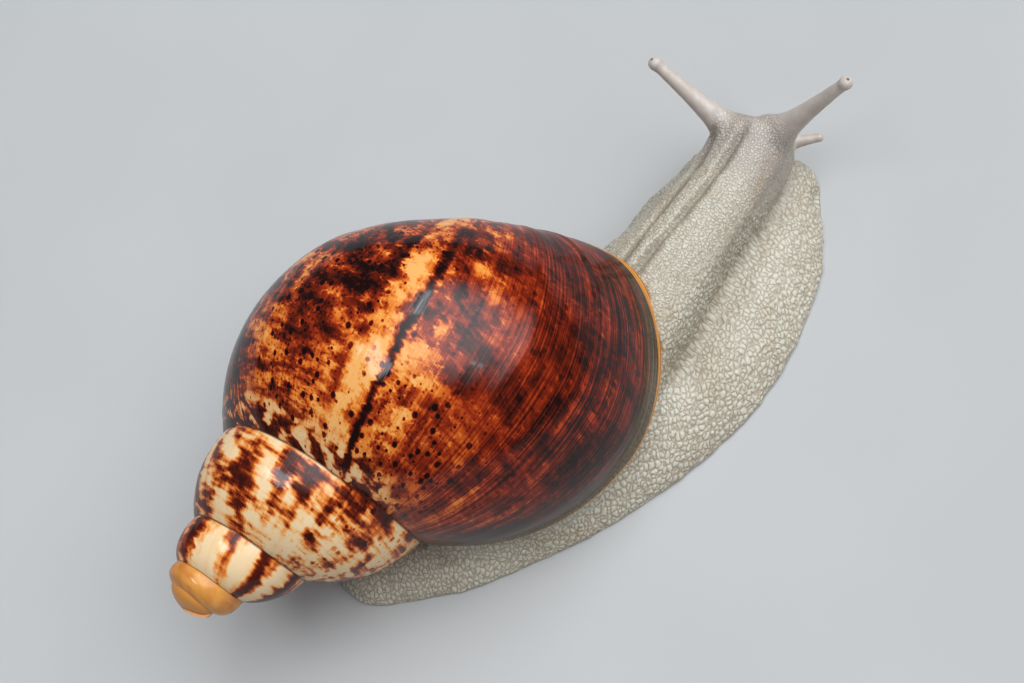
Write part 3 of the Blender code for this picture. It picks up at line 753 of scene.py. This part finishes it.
def push_out(points, tree, lining, limits):
    """Moves points that lie within the shell to just outside it; also says which moved.

    Near the mouth they go to its lining, so that no skin shows outside the lip.
    """
    moved = np.zeros(len(points), bool)
    result = points.copy()
    near = np.all((points > limits[0] - SHELL_GAP) & (points < limits[1] + SHELL_GAP), axis=1)
    for k in np.nonzero(near)[0]:
        point = Vector(points[k])
        place, normal, _, distance = tree.find_nearest(point)
        within = is_within(point, tree)
        if within:
            inner = lining.find_nearest(point)
            if inner[3] < distance + 9 * MM:
                place, normal, _, distance = inner
        if within or distance < SHELL_GAP:
            way = place - point if within else point - place
            way = way.normalized() if way.length > 1e-7 else normal
            result[k] = place + way * SHELL_GAP
            moved[k] = True
    return result, moved


def blended_flesh(mouth):
    """The body's lofts blended into one mesh."""
    lofts = [loft(foot_rings()), loft(neck_rings()), loft(trunk_rings(mouth))]
    lofts += [loft(feeler_rings(*feeler)) for feeler in FEELERS]
    for side in (-1, 1):            # the fleshy lobes beside the mouth
        x, y = SNOUT_FRONT + SNOUT_ASIDE * side * 3.6 - SNOUT_AHEAD * 1.6
        lofts.append(loft(blob((x, y, 9.4), (2.8, 2.9, 3.0), SNOUT_TURN)))
    return remeshed(lofts)


def fit_to_shell(mesh, shell, tree):
    """Moves the flesh out of the shell, then softens the roots of the upper feelers."""
    relax = Relax(mesh)
    points = coords(mesh)
    points = relax.smooth(points, 5, np.ones(len(points)), KEEP_SIZE)
    within = np.zeros(len(shell.loops), np.float32)
    shell.attributes["inside"].data.foreach_get("value", within)
    lining = tree_of(shell, [p for p in shell.polygons if within[p.loop_start] > 0.5])
    shell_at = coords(shell)
    limits = (shell_at.min(0), shell_at.max(0))
    for _ in range(3):
        points, moved = push_out(points, tree, lining, limits)
        blurred = relax.average(moved[:, None] * 1.0)[:, 0]
        points = relax.smooth(points, 2, smoothstep(blurred * 1.6))
    points, moved = push_out(points, tree, lining, limits)
    roots = np.full(len(points), 1e3)
    for base, tip, _, _ in FEELERS[:2]:
        root = np.array(base) + 0.08 * (np.array(tip) - base)
        roots = np.minimum(roots, np.linalg.norm(points / MM - root, axis=1))
    set_coords(mesh, relax.smooth(points, 22, rise(roots, 9.0, -4.0) * 0.9))


def feeler_mask(points):
    """1 on the feelers, fading to 0 at their roots."""
    mask = np.zeros(len(points))
    for base, tip, shape, _ in FEELERS:
        way = np.array(tip) - np.array(base)
        share = ((points - base) @ way) / (way @ way)
        gap = np.linalg.norm(points - base - np.clip(share, 0, 1)[:, None] * way, axis=1)
        near = rise(gap, 1.5 * shape[1] + 0.5, -1.6) * rise(share, 0.08, 0.3)
        mask = np.maximum(mask, near)
    return mask


def build_flesh(shell, mouth):
    """The one skin: blended, fitted to the shell, folded and marked for its tubercles."""
    mesh = blended_flesh(mouth)
    tree = tree_of(shell.data, shell.data.polygons)
    fit_to_shell(mesh, shell.data, tree)
    flat_cut(mesh)
    points = coords(mesh) / MM
    normals = vertex_normals(mesh)
    x, y, z = points.T
    station, left, _ = foot_place(points)
    spine = np.asarray(NECK_STATIONS, float)[:, :2]
    off_spine, spine_share = distance_to_line(points, spine)

    # masks
    upper = rise(z, 0.4, 1.5)
    back = rise(normals[:, 2], 0.1, 0.4) * rise(z, 19, 3)
    head = rise(spine_share, 0.74, 0.14) * rise(off_spine, 13.5, -3) * rise(z, 6.5, 4)
    feeler = feeler_mask(points)
    off_shell = np.array([tree.find_nearest(Vector(point * MM))[3] for point in points]) / MM
    dorsal = rise(z, 17.5, 5) * rise(off_spine, 13.0, -4)
    flank = (1 - dorsal) * (1 - head) * (1 - feeler)

    # folds of the back and the trough along the right side, dented into the mesh; their mask also
    # carries painted shade
    fold = np.zeros(len(points))
    dent = np.zeros(len(points))
    for line, width, depth in FOLDS:
        away, share = distance_to_line(points, line)
        away = away + 0.35 * ripple(station / 4.0 + 50, 11)
        shape = bell(away, width) * back * rise(share, 0, 0.12) * rise(share, 1.02, -0.1)
        fold = np.maximum(fold, shape)
        dent += depth * shape - 0.28 * depth * bell(away - 2.2 * width, 1.3 * width) * back
    away, share = distance_to_line(points, TROUGH)
    trough = bell(away, 4.0) * rise(z, 5, 4) * rise(z, 24, -5) * (1 - feeler) * rise(share, 0, 0.2)
    dent += 1.5 * trough
    wrinkle = ripple(station / 1.5 + 0.25 * left + 0.6 * ripple(left / 3 + 9, 21) + 200, 22)
    dent += 0.16 * wrinkle * bell(z - 16, 7.0) * (1 - head) * rise(station, 92, 12) * (1 - feeler)
    broad = ripple(station / 9 + 100, 31) * ripple(left / 7 + 100, 32)
    dent -= 0.3 * broad * flank * upper
    # the margin of the foot: a soft, lobed frill
    margin = bell(z - 1.6, 2.2) * rise(np.abs(normals[:, 2]), 0.75, -0.5) * rise(z, 0, 0.8)
    dent -= margin * (0.32 * ripple(station / 3.4 + 300, 41) + 0.18 * ripple(station / 1.4 + 300, 42))
    corner = 1.4 * mound(x, y, (86.2, 1.2), 3.0) - 0.7 * mound(x, y, (91.5, 9.0), 3.2)
    dent += corner * rise(z, 6.0, -3) * rise(z, 0, 0.8)
    # mouth: a curved slit between the lobes, under the snout, and the line that parts them
    across = (points[:, :2] - SNOUT_FRONT) @ SNOUT_ASIDE
    front = rise((points[:, :2] - SNOUT_FRONT) @ SNOUT_AHEAD, -3.0, 2.0)
    slit = bell(z - (11.3 - 0.10 * across ** 2), 0.55) * rise(np.abs(across), 4.2, -1.2) * front
    part_line = bell(across, 0.5) * front * rise(z, 10.8, -1.0) * rise(z, 6.5, 1.5)
    dent += 1.3 * slit + 0.9 * part_line
    points = points - normals * (dent * rise(off_shell, 0.5, 2.0))[:, None]
    points[:, 2] = np.maximum(points[:, 2], np.where(z < 0.01, 0.0, 0.02))
    set_coords(mesh, points * MM)

    # coordinates along the rows of tubercles, and how high these stand
    side = np.abs(left)
    slant = np.stack([0.865 * station + 0.51 * side, 0.865 * side - 0.51 * station, z], -1)
    height = (0.42 * flank + 0.26 * dorsal * (1 - head) + 0.15 * head) * (1 - 0.96 * feeler)
    height = height * upper * rise(off_shell, 0.2, 1.0)
    set_attributes(mesh, slant=slant, plain=np.stack([station, left, z], -1), flank=1 - dorsal,
                   head=head, feeler=feeler, relief=height * MM,
                   # painted shade: darker along the folds of the back, in the trough, and in the
                   # mouth's slit and parting line
                   fold=np.clip(fold + 0.36 * trough + slit + part_line, 0, 1))
    return new_object("flesh", mesh)


# --- Node helpers ---

class Value:
    """An output of a node, which can be added, subtracted, multiplied and divided."""

    def __init__(self, nodes, socket):
        self.nodes = nodes
        self.socket = socket

    def __add__(self, other):
        return self.nodes.math("ADD", self, other)

    def __sub__(self, other):
        return self.nodes.math("SUBTRACT", self, other)

    def __mul__(self, other):
        return self.nodes.math("MULTIPLY", self, other)

    def __truediv__(self, other):
        return self.nodes.math("DIVIDE", self, other)


class Nodes:
    """Short names for building a node tree."""

    def __init__(self, tree):
        self.tree = tree

    def feed(self, node, inputs):
        """Links values to a node's inputs, or sets the inputs that stay constant."""
        for key, value in inputs.items():
            if isinstance(value, Value):
                self.tree.links.new(value.socket, node.inputs[key])
            else:
                node.inputs[key].default_value = value

    def add(self, kind, inputs, **settings):
        made = self.tree.nodes.new(kind)
        for key, value in settings.items():
            setattr(made, key, value)
        self.feed(made, inputs)
        return made

    def value(self, kind, inputs=(), output=0, **settings):
        return Value(self, self.add(kind, dict(inputs), **settings).outputs[output])

    def math(self, operation, a, b):
        return self.value("ShaderNodeMath", {0: a, 1: b}, operation=operation)

    def spread(self, place, lengths, offset=(0, 0, 0)):
        """A place in units of one, two or three lengths, moved; an axis without one is dropped."""
        lengths = [lengths] * 3 if isinstance(lengths, (int, float)) else [*lengths, 0][:3]
        scale = [1 / length if length else 0 for length in lengths]
        return self.value("ShaderNodeVectorMath", {0: place, 1: scale, 2: [*offset, 0, 0][:3]},
                          operation="MULTIPLY_ADD")

    def noise(self, place, lengths, detail, roughness, offset=(0, 0, 0), output=0):
        """Noise with lumps of about the given lengths."""
        inputs = {"Vector": self.spread(place, lengths, offset), "Scale": 1.0, "Detail": detail,
                  "Roughness": roughness}
        return self.value("ShaderNodeTexNoise", inputs, output)

    def grooved(self, place, lengths, width, offset=(0, 0, 0), randomness=0.9):
        """Cells of about the given lengths: 0 along their borders and 1 beyond a width."""
        inputs = {"Vector": self.spread(place, lengths, offset), "Scale": 1.0,
                  "Randomness": randomness}
        edge = self.value("ShaderNodeTexVoronoi", inputs, "Distance", feature="DISTANCE_TO_EDGE")
        return self.step(edge, 0.0, width)

    def step(self, value, low, high, out_low=0.0, out_high=1.0):
        """Goes smoothly from out_low to out_high as the value goes from low to high."""
        inputs = {0: value, 1: low, 2: high, 3: out_low, 4: out_high}
        return self.value("ShaderNodeMapRange", inputs, interpolation_type="SMOOTHSTEP")

    def mix(self, factor, a, b):
        return self.value("ShaderNodeMix", {0: factor, 2: a, 3: b}, data_type="FLOAT")

    def blend(self, factor, a, b, mode="MIX"):
        return self.value("ShaderNodeMix", {0: factor, 6: a, 7: b}, 2, data_type="RGBA",
                          blend_type=mode)

    def ramp(self, value, stops):
        made = self.add("ShaderNodeValToRGB", {0: value})
        elements = made.color_ramp.elements
        while len(elements) < len(stops):
            elements.new(0.5)
        for element, (place, colour) in zip(elements, stops):
            element.position = place
            element.color = (*colour, 1)
        return Value(self, made.outputs[0])

    def bump(self, height, strength, depth):
        return self.value("ShaderNodeBump", {"Height": height, "Strength": strength,
                                             "Distance": depth * MM})

    def attribute(self, name, vector=False):
        if self.tree.type == "GEOMETRY":
            kind = "FLOAT_VECTOR" if vector else "FLOAT"
            return self.value("GeometryNodeInputNamedAttribute", {0: name}, data_type=kind)
        return self.value("ShaderNodeAttribute", output="Vector" if vector else "Fac",
                          attribute_name=name)


def principled(name, settings):
    """A new material, its node helper and its Principled shader, with constant settings."""
    made = bpy.data.materials.new(name)
    made.use_nodes = True
    shader = made.node_tree.nodes["Principled BSDF"]
    n = Nodes(made.node_tree)
    n.feed(shader, settings)
    return made, n, shader


# --- Shell finish ---

# shades of the shell, from its darkest to its palest
SHADES = (
    (0.00, (0.008, 0.0015, 0.0015)), (0.16, (0.032, 0.004, 0.002)), (0.32, (0.110, 0.009, 0.002)),
    (0.46, (0.235, 0.019, 0.004)), (0.58, (0.400, 0.057, 0.008)), (0.70, (0.62, 0.155, 0.018)),
    (0.84, (0.72, 0.270, 0.052)), (1.00, (0.76, 0.370, 0.11)))
PALE_SHADES = (
    (0.00, (0.028, 0.004, 0.002)), (0.16, (0.085, 0.009, 0.003)), (0.32, (0.25, 0.030, 0.005)),
    (0.47, (0.48, 0.100, 0.014)), (0.64, (0.70, 0.245, 0.050)), (0.82, (0.74, 0.44, 0.185)),
    (0.97, (0.74, 0.54, 0.320)))
OCHRE = ((0.30, (0.44, 0.155, 0.030)), (0.55, (0.60, 0.255, 0.055)), (0.80, (0.71, 0.36, 0.10)))
RIM_BANDS = (
    (0.36, (0.006, 0.003, 0.002)), (0.44, (0.042, 0.018, 0.007)), (0.48, (0.008, 0.004, 0.002)),
    (0.52, (0.15, 0.100, 0.055)), (0.57, (0.012, 0.006, 0.003)), (0.63, (0.16, 0.12, 0.075)))
HONEY = ((0.38, (0.34, 0.10, 0.014)), (0.50, (0.62, 0.23, 0.028)), (0.64, (0.74, 0.34, 0.055)))
THREAD = (0.040, 0.014, 0.008, 1)
PORCELAIN = (0.55, 0.53, 0.51, 1)

# how pale the last whorl is along its growth, from AGE_SPAN radians before the lip to the lip
AGE_SPAN = 3.4
AGE_TONES = (
    (0.000, 0.34), (0.100, 0.24), (0.160, 0.34), (0.220, 0.50), (0.300, 0.48), (0.345, 0.36),
    (0.430, 0.32), (0.452, 0.38), (0.468, 0.72), (0.504, 0.74), (0.512, 0.44), (0.525, 0.53),
    (0.570, 0.53), (0.610, 0.40), (0.680, 0.35), (0.780, 0.33), (0.850, 0.28), (0.920, 0.21),
    (1.000, 0.15))


def spots(n, lie, size, smallest, largest, share, offset):
    """Round spots, one in a share of the cells of a given size, all in millimetres: 1 inside."""
    cells = n.add("ShaderNodeTexVoronoi", {"Vector": n.spread(lie, (size, size), offset),
                                           "Scale": 1.0, "Randomness": 1.0},
                  feature="F1", voronoi_dimensions="2D").outputs
    luck = n.add("ShaderNodeSeparateColor", {0: Value(n, cells["Color"])}).outputs
    reach = n.step(Value(n, luck[0]), 0.0, 1.0, smallest / size, largest / size)
    spot = n.step(Value(n, cells["Distance"]) / reach, 1.25, 0.6)
    return spot * n.math("LESS_THAN", Value(n, luck[1]), share)


def shell_tones(n, lie, growth, across):
    """How pale the shell is, how far it follows the spire's palette, and its fine lines.

    Growth is in radians before the lip; lie and across are in millimetres.
    """
    ragged = n.step(n.noise(lie, (12, 16), 1.0, 0.5, (6.0, 1.0)), 0.4, 0.62, 0.25, 1.0)
    streaks = (n.noise(lie, (10, 1.6), 2.0, 0.55) - 0.5) * ragged
    along = n.value("ShaderNodeSeparateXYZ", {0: lie}) + streaks * 7.0
    warped = n.value("ShaderNodeCombineXYZ", {0: along, 1: across})
    # last whorl: broad clouds, then broken patches and bright flecks
    clouds = n.noise(warped, (15, 17), 3.0, 0.55, (3.1, 1.7))
    small = n.noise(warped, (4.6, 4.2), 3.0, 0.6, (9.1, 4.7))
    flecks = n.noise(warped, (2.0, 1.7), 2.0, 0.5, (1.1, 7.7))
    jitter = n.noise(lie, (0, 9), 4.0, 0.6, (0, 5.0))
    age = growth / AGE_SPAN + 1.0 + (jitter - 0.5) * 0.02 + streaks * 0.024
    tones = n.ramp(age, [(place, (tone,) * 3) for place, tone in AGE_TONES])
    body = n.value("ShaderNodeSeparateColor", {0: tones})
    calm = n.step(age, 0.54, 0.66, 1.0, 0.40)
    patches = n.step(clouds, 0.39, 0.61, -0.23, 0.23) + n.step(small, 0.38, 0.62, -0.20, 0.20)
    body = body + patches * calm + streaks * 0.35
    body = body + n.step(flecks, 0.58, 0.68, 0.0, 0.24) * calm
    # lower part of the older half: amber crossed by dark dashes along the spiral
    dashes = n.step(n.noise(lie, (10, 2.8), 3.0, 0.6, (7.0, 2.0)), 0.40, 0.64, 0.92, 0.12)
    amber = n.step(across, 40.0, 20.0) * n.step(growth, -1.6, -2.1, 0.0, 0.5)
    body = n.mix(amber, body, dashes)
    glow = n.step(across, 40.0, 16.0) * n.step(growth, -0.35, -0.9, 0.0, 0.15)
    body = body + glow * n.step(growth, -2.6, -1.9)
    # spire: cream with broken upright flames
    flames = n.noise(warped, (6.0, 24), 2.0, 0.5, (1.9, 8.3))
    blots = n.noise(lie, (10.0, 8.0), 1.5, 0.5, (4.2, 1.9))
    broken = n.noise(lie, (7.0, 1.8), 2.0, 0.5, (2.0, 6.0))
    older = n.step(growth, -10.2, -11.8)
    rough = n.step(older, 0.0, 1.0, 0.42, 0.14)
    shape = n.mix(n.step(older, 0.0, 1.0, 0.5, 0.0), flames, blots) + (broken - 0.5) * rough
    spire = n.step(shape, 0.40, 0.64, 1.0, 0.08) + (small - 0.5) * rough
    # under the suture of the last whorl: the same in small
    tongues = n.step(n.noise(lie, (7.0, 3.6), 2.0, 0.5, (5.4, 3.3)), 0.41, 0.57, 1.0, 0.04)
    young = n.step(growth, -5.2, -6.6)
    near_suture = n.step(across, 13.0, 4.0) * n.step(growth, -0.9, -1.5, 0.1, 0.85)
    style = n.math("MAXIMUM", young, near_suture)
    tone = n.mix(style, body, n.mix(young, tongues, spire))
    # round dark spots, thickest on the older half of the last whorl
    thick = n.step(growth, -1.3, -2.1, 0.2, 1.0) * n.step(growth, -9.0, -5.5)
    low = n.step(across, 42.0, 26.0, 0.0, 0.9) * n.step(growth, -0.7, -1.3)
    thick = n.math("MAXIMUM", thick, low * n.step(growth, -7.0, -5.5))
    tone = tone - spots(n, lie, 3.1, 0.32, 0.84, 0.55, (0.3, 0.9)) * thick * 0.62
    tone = tone - spots(n, lie, 1.55, 0.20, 0.42, 0.7, (5.3, 2.9)) * thick * 0.22
    # old mouth edges: a black line down to the suture, and a dark border beside the pale streak
    scar = n.step(age, 0.508, 0.516) * n.step(age, 0.526, 0.518)
    scar = scar * n.step(across, 66.0, 42.0, 0.2, 1.0)
    border = n.step(age, 0.432, 0.450) * n.step(age, 0.462, 0.452)
    border = border * n.step(across, 40.0, 60.0, 0.1, 0.6)
    tone = tone - (scar + border) * 0.62
    # dark stripes on the side away from the lip
    stripes = n.step(n.noise(lie, (1.5, 90), 1.0, 0.5, (4.0,)), 0.42, 0.56)
    tone = tone - stripes * (n.step(age, -0.30, -0.05) * n.step(age, 0.215, 0.150, 0.0, 0.55))
    # lines of growth, stronger towards the lip
    fine = n.noise(lie, (0.5, 34), 2.0, 0.6)
    wide = n.noise(lie, (2.3, 70), 3.0, 0.6, (7.0,))
    lines = (fine - 0.53) * 1.2 + (wide - 0.52) * 0.9
    tone = tone + lines * n.step(growth, -1.7, -0.3, 0.30, 1.0)
    return tone, style, fine, wide


def shell_material():
    made, n, shader = principled("shell_gloss", {
        "IOR": 1.4, "Specular IOR Level": 0.0, "Coat Weight": 0.7, "Coat Roughness": 0.08,
        "Coat IOR": 1.45})
    lie = n.attribute("lie", vector=True)
    growth, edge, inside = (n.attribute(name) for name in ("growth", "edge", "inside"))
    across = n.value("ShaderNodeSeparateXYZ", {0: lie}, 1)
    tone, style, fine, wide = shell_tones(n, lie, growth, across)
    colour = n.blend(style, n.ramp(tone, SHADES), n.ramp(tone, PALE_SHADES))
    # the newest growth: olive and dark bands, then an orange rim that widens along the lip
    bands = n.noise(lie, (1.3, 90), 3.0, 0.6, (4.0, 2.0))
    colour = n.blend(n.step(growth, -0.40, -0.10, 0.0, 0.92), colour, n.ramp(bands, RIM_BANDS))
    rim = n.step(growth + n.step(across, 60.0, 120.0, 0.030, 0.160), -0.007, 0.004)
    colour = n.blend(rim, colour, n.ramp(bands, HONEY))
    # wax-coloured nub
    waxy = n.noise(lie, (5, 4), 3.0, 0.5)
    colour = n.blend(n.step(growth, -16.6, -17.2), colour, n.ramp(waxy, OCHRE))
    # dark thread in the sutures, porcelain inside the mouth
    thread = n.step(edge, 0.45, 0.10) * n.step(growth, -18.0, -17.0, 0.0, 0.8)
    colour = n.blend(thread, colour, THREAD)
    wear = n.noise(lie, (9, 12), 4.0, 0.6, (1.0, 2.0))
    ridges = fine * 0.6 + wide
    n.feed(shader, {"Base Color": n.blend(inside * 0.9, colour, PORCELAIN),
                    "Normal": n.bump(ridges, 0.6, 0.16), "Coat Normal": n.bump(ridges, 0.35, 0.09),
                    "Roughness": n.step(wear, 0.35, 0.7, 0.24, 0.38)})
    return made


# --- Skin finish ---

# colours from the grooves to the tops of the tubercles, the grooves dark partly by the skin's own tone
# and partly by painted shade; then those of the other patterns
SKIN = ((0.0, (0.300, 0.250, 0.188)), (0.2, (0.395, 0.35, 0.275)), (0.55, (0.505, 0.47, 0.385)),
        (1.0, (0.575, 0.55, 0.47)))
HEAD_SKIN = ((0.0, (0.34, 0.29, 0.255)), (0.5, (0.46, 0.41, 0.365)), (1.0, (0.53, 0.485, 0.44)))
FEELER_SKIN = ((0.3, (0.50, 0.435, 0.395)), (0.7, (0.58, 0.52, 0.475)))
BLOTCHES = ((0.3, (0.86, 0.80, 0.72)), (0.5, (0.98, 0.97, 0.95)), (0.7, (1.05, 1.05, 1.03)))
# colour of the painted shade in the creases, the trough and the mouth's slit
FOLD_SHADE = (0.20, 0.155, 0.115, 1)
EYE_TONES = ((0.3, (0.10, 0.065, 0.050)), (0.7, (0.17, 0.115, 0.090)))


def tubercles(n):
    """Height of the tubercles, from 0 in the grooves to 1; the same in the mesh and the finish."""
    slant, plain = (n.attribute(name, vector=True) for name in ("slant", "plain"))
    wander = n.spread(n.noise(plain, 6.25, 1.0, 0.5, output=1), 1 / 2.2, (-1.1,) * 3)
    slant, plain = (n.value("ShaderNodeVectorMath", {0: place, 1: wander}, operation="ADD")
                    for place in (slant, plain))
    rows = (n.grooved(slant, (1.15, 1.6, 1.4), 0.30, randomness=0.8) * 0.68
            + n.grooved(slant, (0.7, 1.0, 0.8), 0.34, (5.0, 3.0, 1.0)) * 0.32)
    grains = n.grooved(plain, (0.8, 0.62, 0.7), 0.30)
    plates = n.grooved(plain, (0.85, 1.15, 1.0), 0.36) * 0.6 + grains * 0.4
    return n.mix(n.attribute("head"), n.mix(n.attribute("flank"), plates, rows), grains)


def raise_tubercles(flesh):
    """Lifts the mesh by the tubercles' height, through a node modifier that is then applied."""
    tree = bpy.data.node_groups.new("raise_tubercles", "GeometryNodeTree")
    for way in ("INPUT", "OUTPUT"):
        tree.interface.new_socket("Geometry", in_out=way, socket_type="NodeSocketGeometry")
    n = Nodes(tree)
    lift = (tubercles(n) - 0.7) * n.attribute("relief")
    offset = n.value("ShaderNodeVectorMath", {0: n.value("GeometryNodeInputNormal"), "Scale": lift},
                     operation="SCALE")
    moved = n.value("GeometryNodeSetPosition", {"Geometry": n.value("NodeGroupInput"),
                                                "Offset": offset})
    n.add("NodeGroupOutput", {0: moved})
    flesh.modifiers.new("tubercles", "NODES").node_group = tree
    mesh = applied(flesh)
    flesh.modifiers.clear()
    flesh.data = mesh
    points = coords(mesh)
    points[:, 2] = np.maximum(points[:, 2], 0.0)
    set_coords(mesh, points)
    mesh.shade_smooth()


def skin_material():
    made, n, shader = principled("snail_skin", {
        "IOR": 1.4, "Subsurface Weight": 0.22, "Subsurface Scale": 0.0016,
        "Subsurface Radius": (1.0, 0.6, 0.4), "Coat Weight": 0.28, "Coat Roughness": 0.26})
    height = tubercles(n)
    plain = n.attribute("plain", vector=True)
    head, feeler, fold = (n.attribute(name) for name in ("head", "feeler", "fold"))
    # the grooves between the tubercles are darker, partly the skin's own tone and partly painted shade
    colour = n.blend(head * 0.9, n.ramp(height, SKIN), n.ramp(height, HEAD_SKIN))
    colour = n.blend(feeler, colour, n.ramp(n.noise(plain, 2, 3.0, 0.5), FEELER_SKIN))
    blotch = n.noise(plain, (14, 10, 10), 4.0, 0.55)
    colour = n.blend(1.0, colour, n.ramp(blotch, BLOTCHES), "MULTIPLY")
    pores = n.noise(plain, 1 / 3.4, 3.0, 0.6)
    surface = (height * n.step(feeler, 0.0, 1.0, 1.0, 0.05)
               + pores * n.step(feeler, 0.0, 1.0, 0.22, 0.05))
    wet = n.noise(plain, 7, 3.0, 0.6, (3.0, 1.0, 2.0))
    # painted shade darkens the creases, the trough and the mouth's slit
    n.feed(shader, {"Base Color": n.blend(fold * 0.7, colour, FOLD_SHADE),
                    "Normal": n.bump(surface, 0.75, 0.22),
                    "Roughness": n.step(wet, 0.3, 0.7, 0.34, 0.56)})
    return made


def eye_material():
    made, n, shader = principled("eye_bead", {
        "Roughness": 0.12, "IOR": 1.45, "Coat Weight": 1.0, "Coat Roughness": 0.03})
    place = n.value("ShaderNodeTexCoord", output="Object")
    n.feed(shader, {"Base Color": n.ramp(n.noise(place, 0.0004, 2.0, 0.5), EYE_TONES)})
    return made


def build_eyes():
    """Smooth beads in place of the solid model's faceted eyes."""
    finish = eye_material()
    for side in ("left", "right"):
        low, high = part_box("eye_" + side)
        mesh = bpy.data.meshes.new("eye_bead_" + side)
        work = bmesh.new()
        bmesh.ops.create_uvsphere(work, u_segments=32, v_segments=20, radius=(high.x - low.x) * 0.34)
        work.to_mesh(mesh)
        work.free()
        mesh.shade_smooth()
        mesh.materials.append(finish)
        bead = new_object("eye_bead_" + side, mesh)
        bead.location = (low + high) / 2
        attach(bead, "root")
        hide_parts("eye_" + side)


# --- Stage ---

FLOOR_HALF = 9                      # metres, so that its edge shows in no view
FLOOR_DROP = 0.0002
FLOOR_TONES = ((0.3, (0.41, 0.41, 0.405)), (0.7, (0.44, 0.44, 0.435)))
LIGHT_TARGET = (0, 0, 0.04)
LIGHTS = (                          # name, place, size, watts, colour, spread in degrees
    ("window", (-0.25, 0.05, 1.0), (0.44, 0.20), 1.7, (0.95, 0.96, 1.0), 150),
    ("strip", (0.37, 0.29, 0.94), (0.04, 0.28), 0.5, (0.85, 0.93, 1.0), 180),
    ("spark", (0.334, -0.588, 0.803), (0.04, 0.04), 0.05, (1.0, 1.0, 1.0), 180))
SKY_COLOUR = (0.92, 0.96, 1.0, 1)
SKY_PATCH = (0.48, -0.15, 0.86)     # the way to the middle of the sky's bright patch
SKY_EDGE = 0.74                     # cosine of the angle at which the patch has faded out
SKY_DIM = 0.13
SKY_STRENGTH = 5.0


def build_floor():
    corners = [(x * FLOOR_HALF, y * FLOOR_HALF, 0) for x, y in ((-1, -1), (1, -1), (1, 1), (-1, 1))]
    floor = new_mesh("floor", corners, [(0, 1, 2, 3)])
    floor.location.z = -FLOOR_DROP
    made, n, shader = principled("pale_floor", {"Roughness": 0.7})
    place = n.value("ShaderNodeTexCoord", output="Object")
    n.feed(shader, {"Base Color": n.ramp(n.noise(place, 1 / 9, 3.0, 0.5), FLOOR_TONES)})
    floor.data.materials.append(made)


def build_lights():
    for name, place, size, energy, colour, spread in LIGHTS:
        light = bpy.data.lights.new(name, "AREA")
        light.shape = "RECTANGLE"
        light.size, light.size_y = size
        light.energy = energy
        light.color = colour
        light.spread = math.radians(spread)
        made = new_object(name, light)
        made.location = place
        way = Vector(LIGHT_TARGET) - Vector(place)
        made.rotation_euler = way.to_track_quat("-Z", "Y").to_euler()


def build_sky():
    """An even, dim sky with one broad, soft-edged bright patch."""
    world = bpy.data.worlds.new("studio")
    bpy.context.scene.world = world
    world.use_nodes = True
    n = Nodes(world.node_tree)
    way = n.value("ShaderNodeTexCoord", output="Generated")
    facing = n.value("ShaderNodeVectorMath", {0: way, 1: Vector(SKY_PATCH).normalized()}, "Value",
                     operation="DOT_PRODUCT")
    strength = n.step(facing, SKY_EDGE, 1.0, SKY_DIM, SKY_STRENGTH)
    n.feed(world.node_tree.nodes["Background"], {"Color": SKY_COLOUR, "Strength": strength})


def build_camera():
    bpy.context.scene.view_settings.view_transform = "Standard"
    camera = bpy.data.cameras.new("camera")
    camera.sensor_width = 36
    camera.lens = CAMERA_LENS
    camera.clip_start = 0.01
    made = new_object("camera", camera)
    right = Vector(CAMERA_RIGHT).normalized()
    up = -Vector(CAMERA_DOWN).normalized()
    turn = Matrix((right, up, right.cross(up))).transposed()
    made.matrix_world = Matrix.Translation(CAMERA_PLACE) @ turn.to_4x4()
    bpy.context.scene.camera = made


def main():
    build_camera()
    build_floor()
    build_lights()
    build_sky()
    shell, mouth = build_shell()
    shell.data.materials.append(shell_material())
    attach(shell, "root")
    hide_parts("shell")
    flesh = build_flesh(shell, mouth)
    raise_tubercles(flesh)
    flesh.data.materials.append(skin_material())
    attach(flesh, "root")
    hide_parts("mantle", "tail", "foot_middle", "foot_front", "trunk", "neck", "head",
                "upper_feeler_left", "upper_feeler_right", "lower_feeler_left",
                "lower_feeler_right")
    build_eyes()


main()
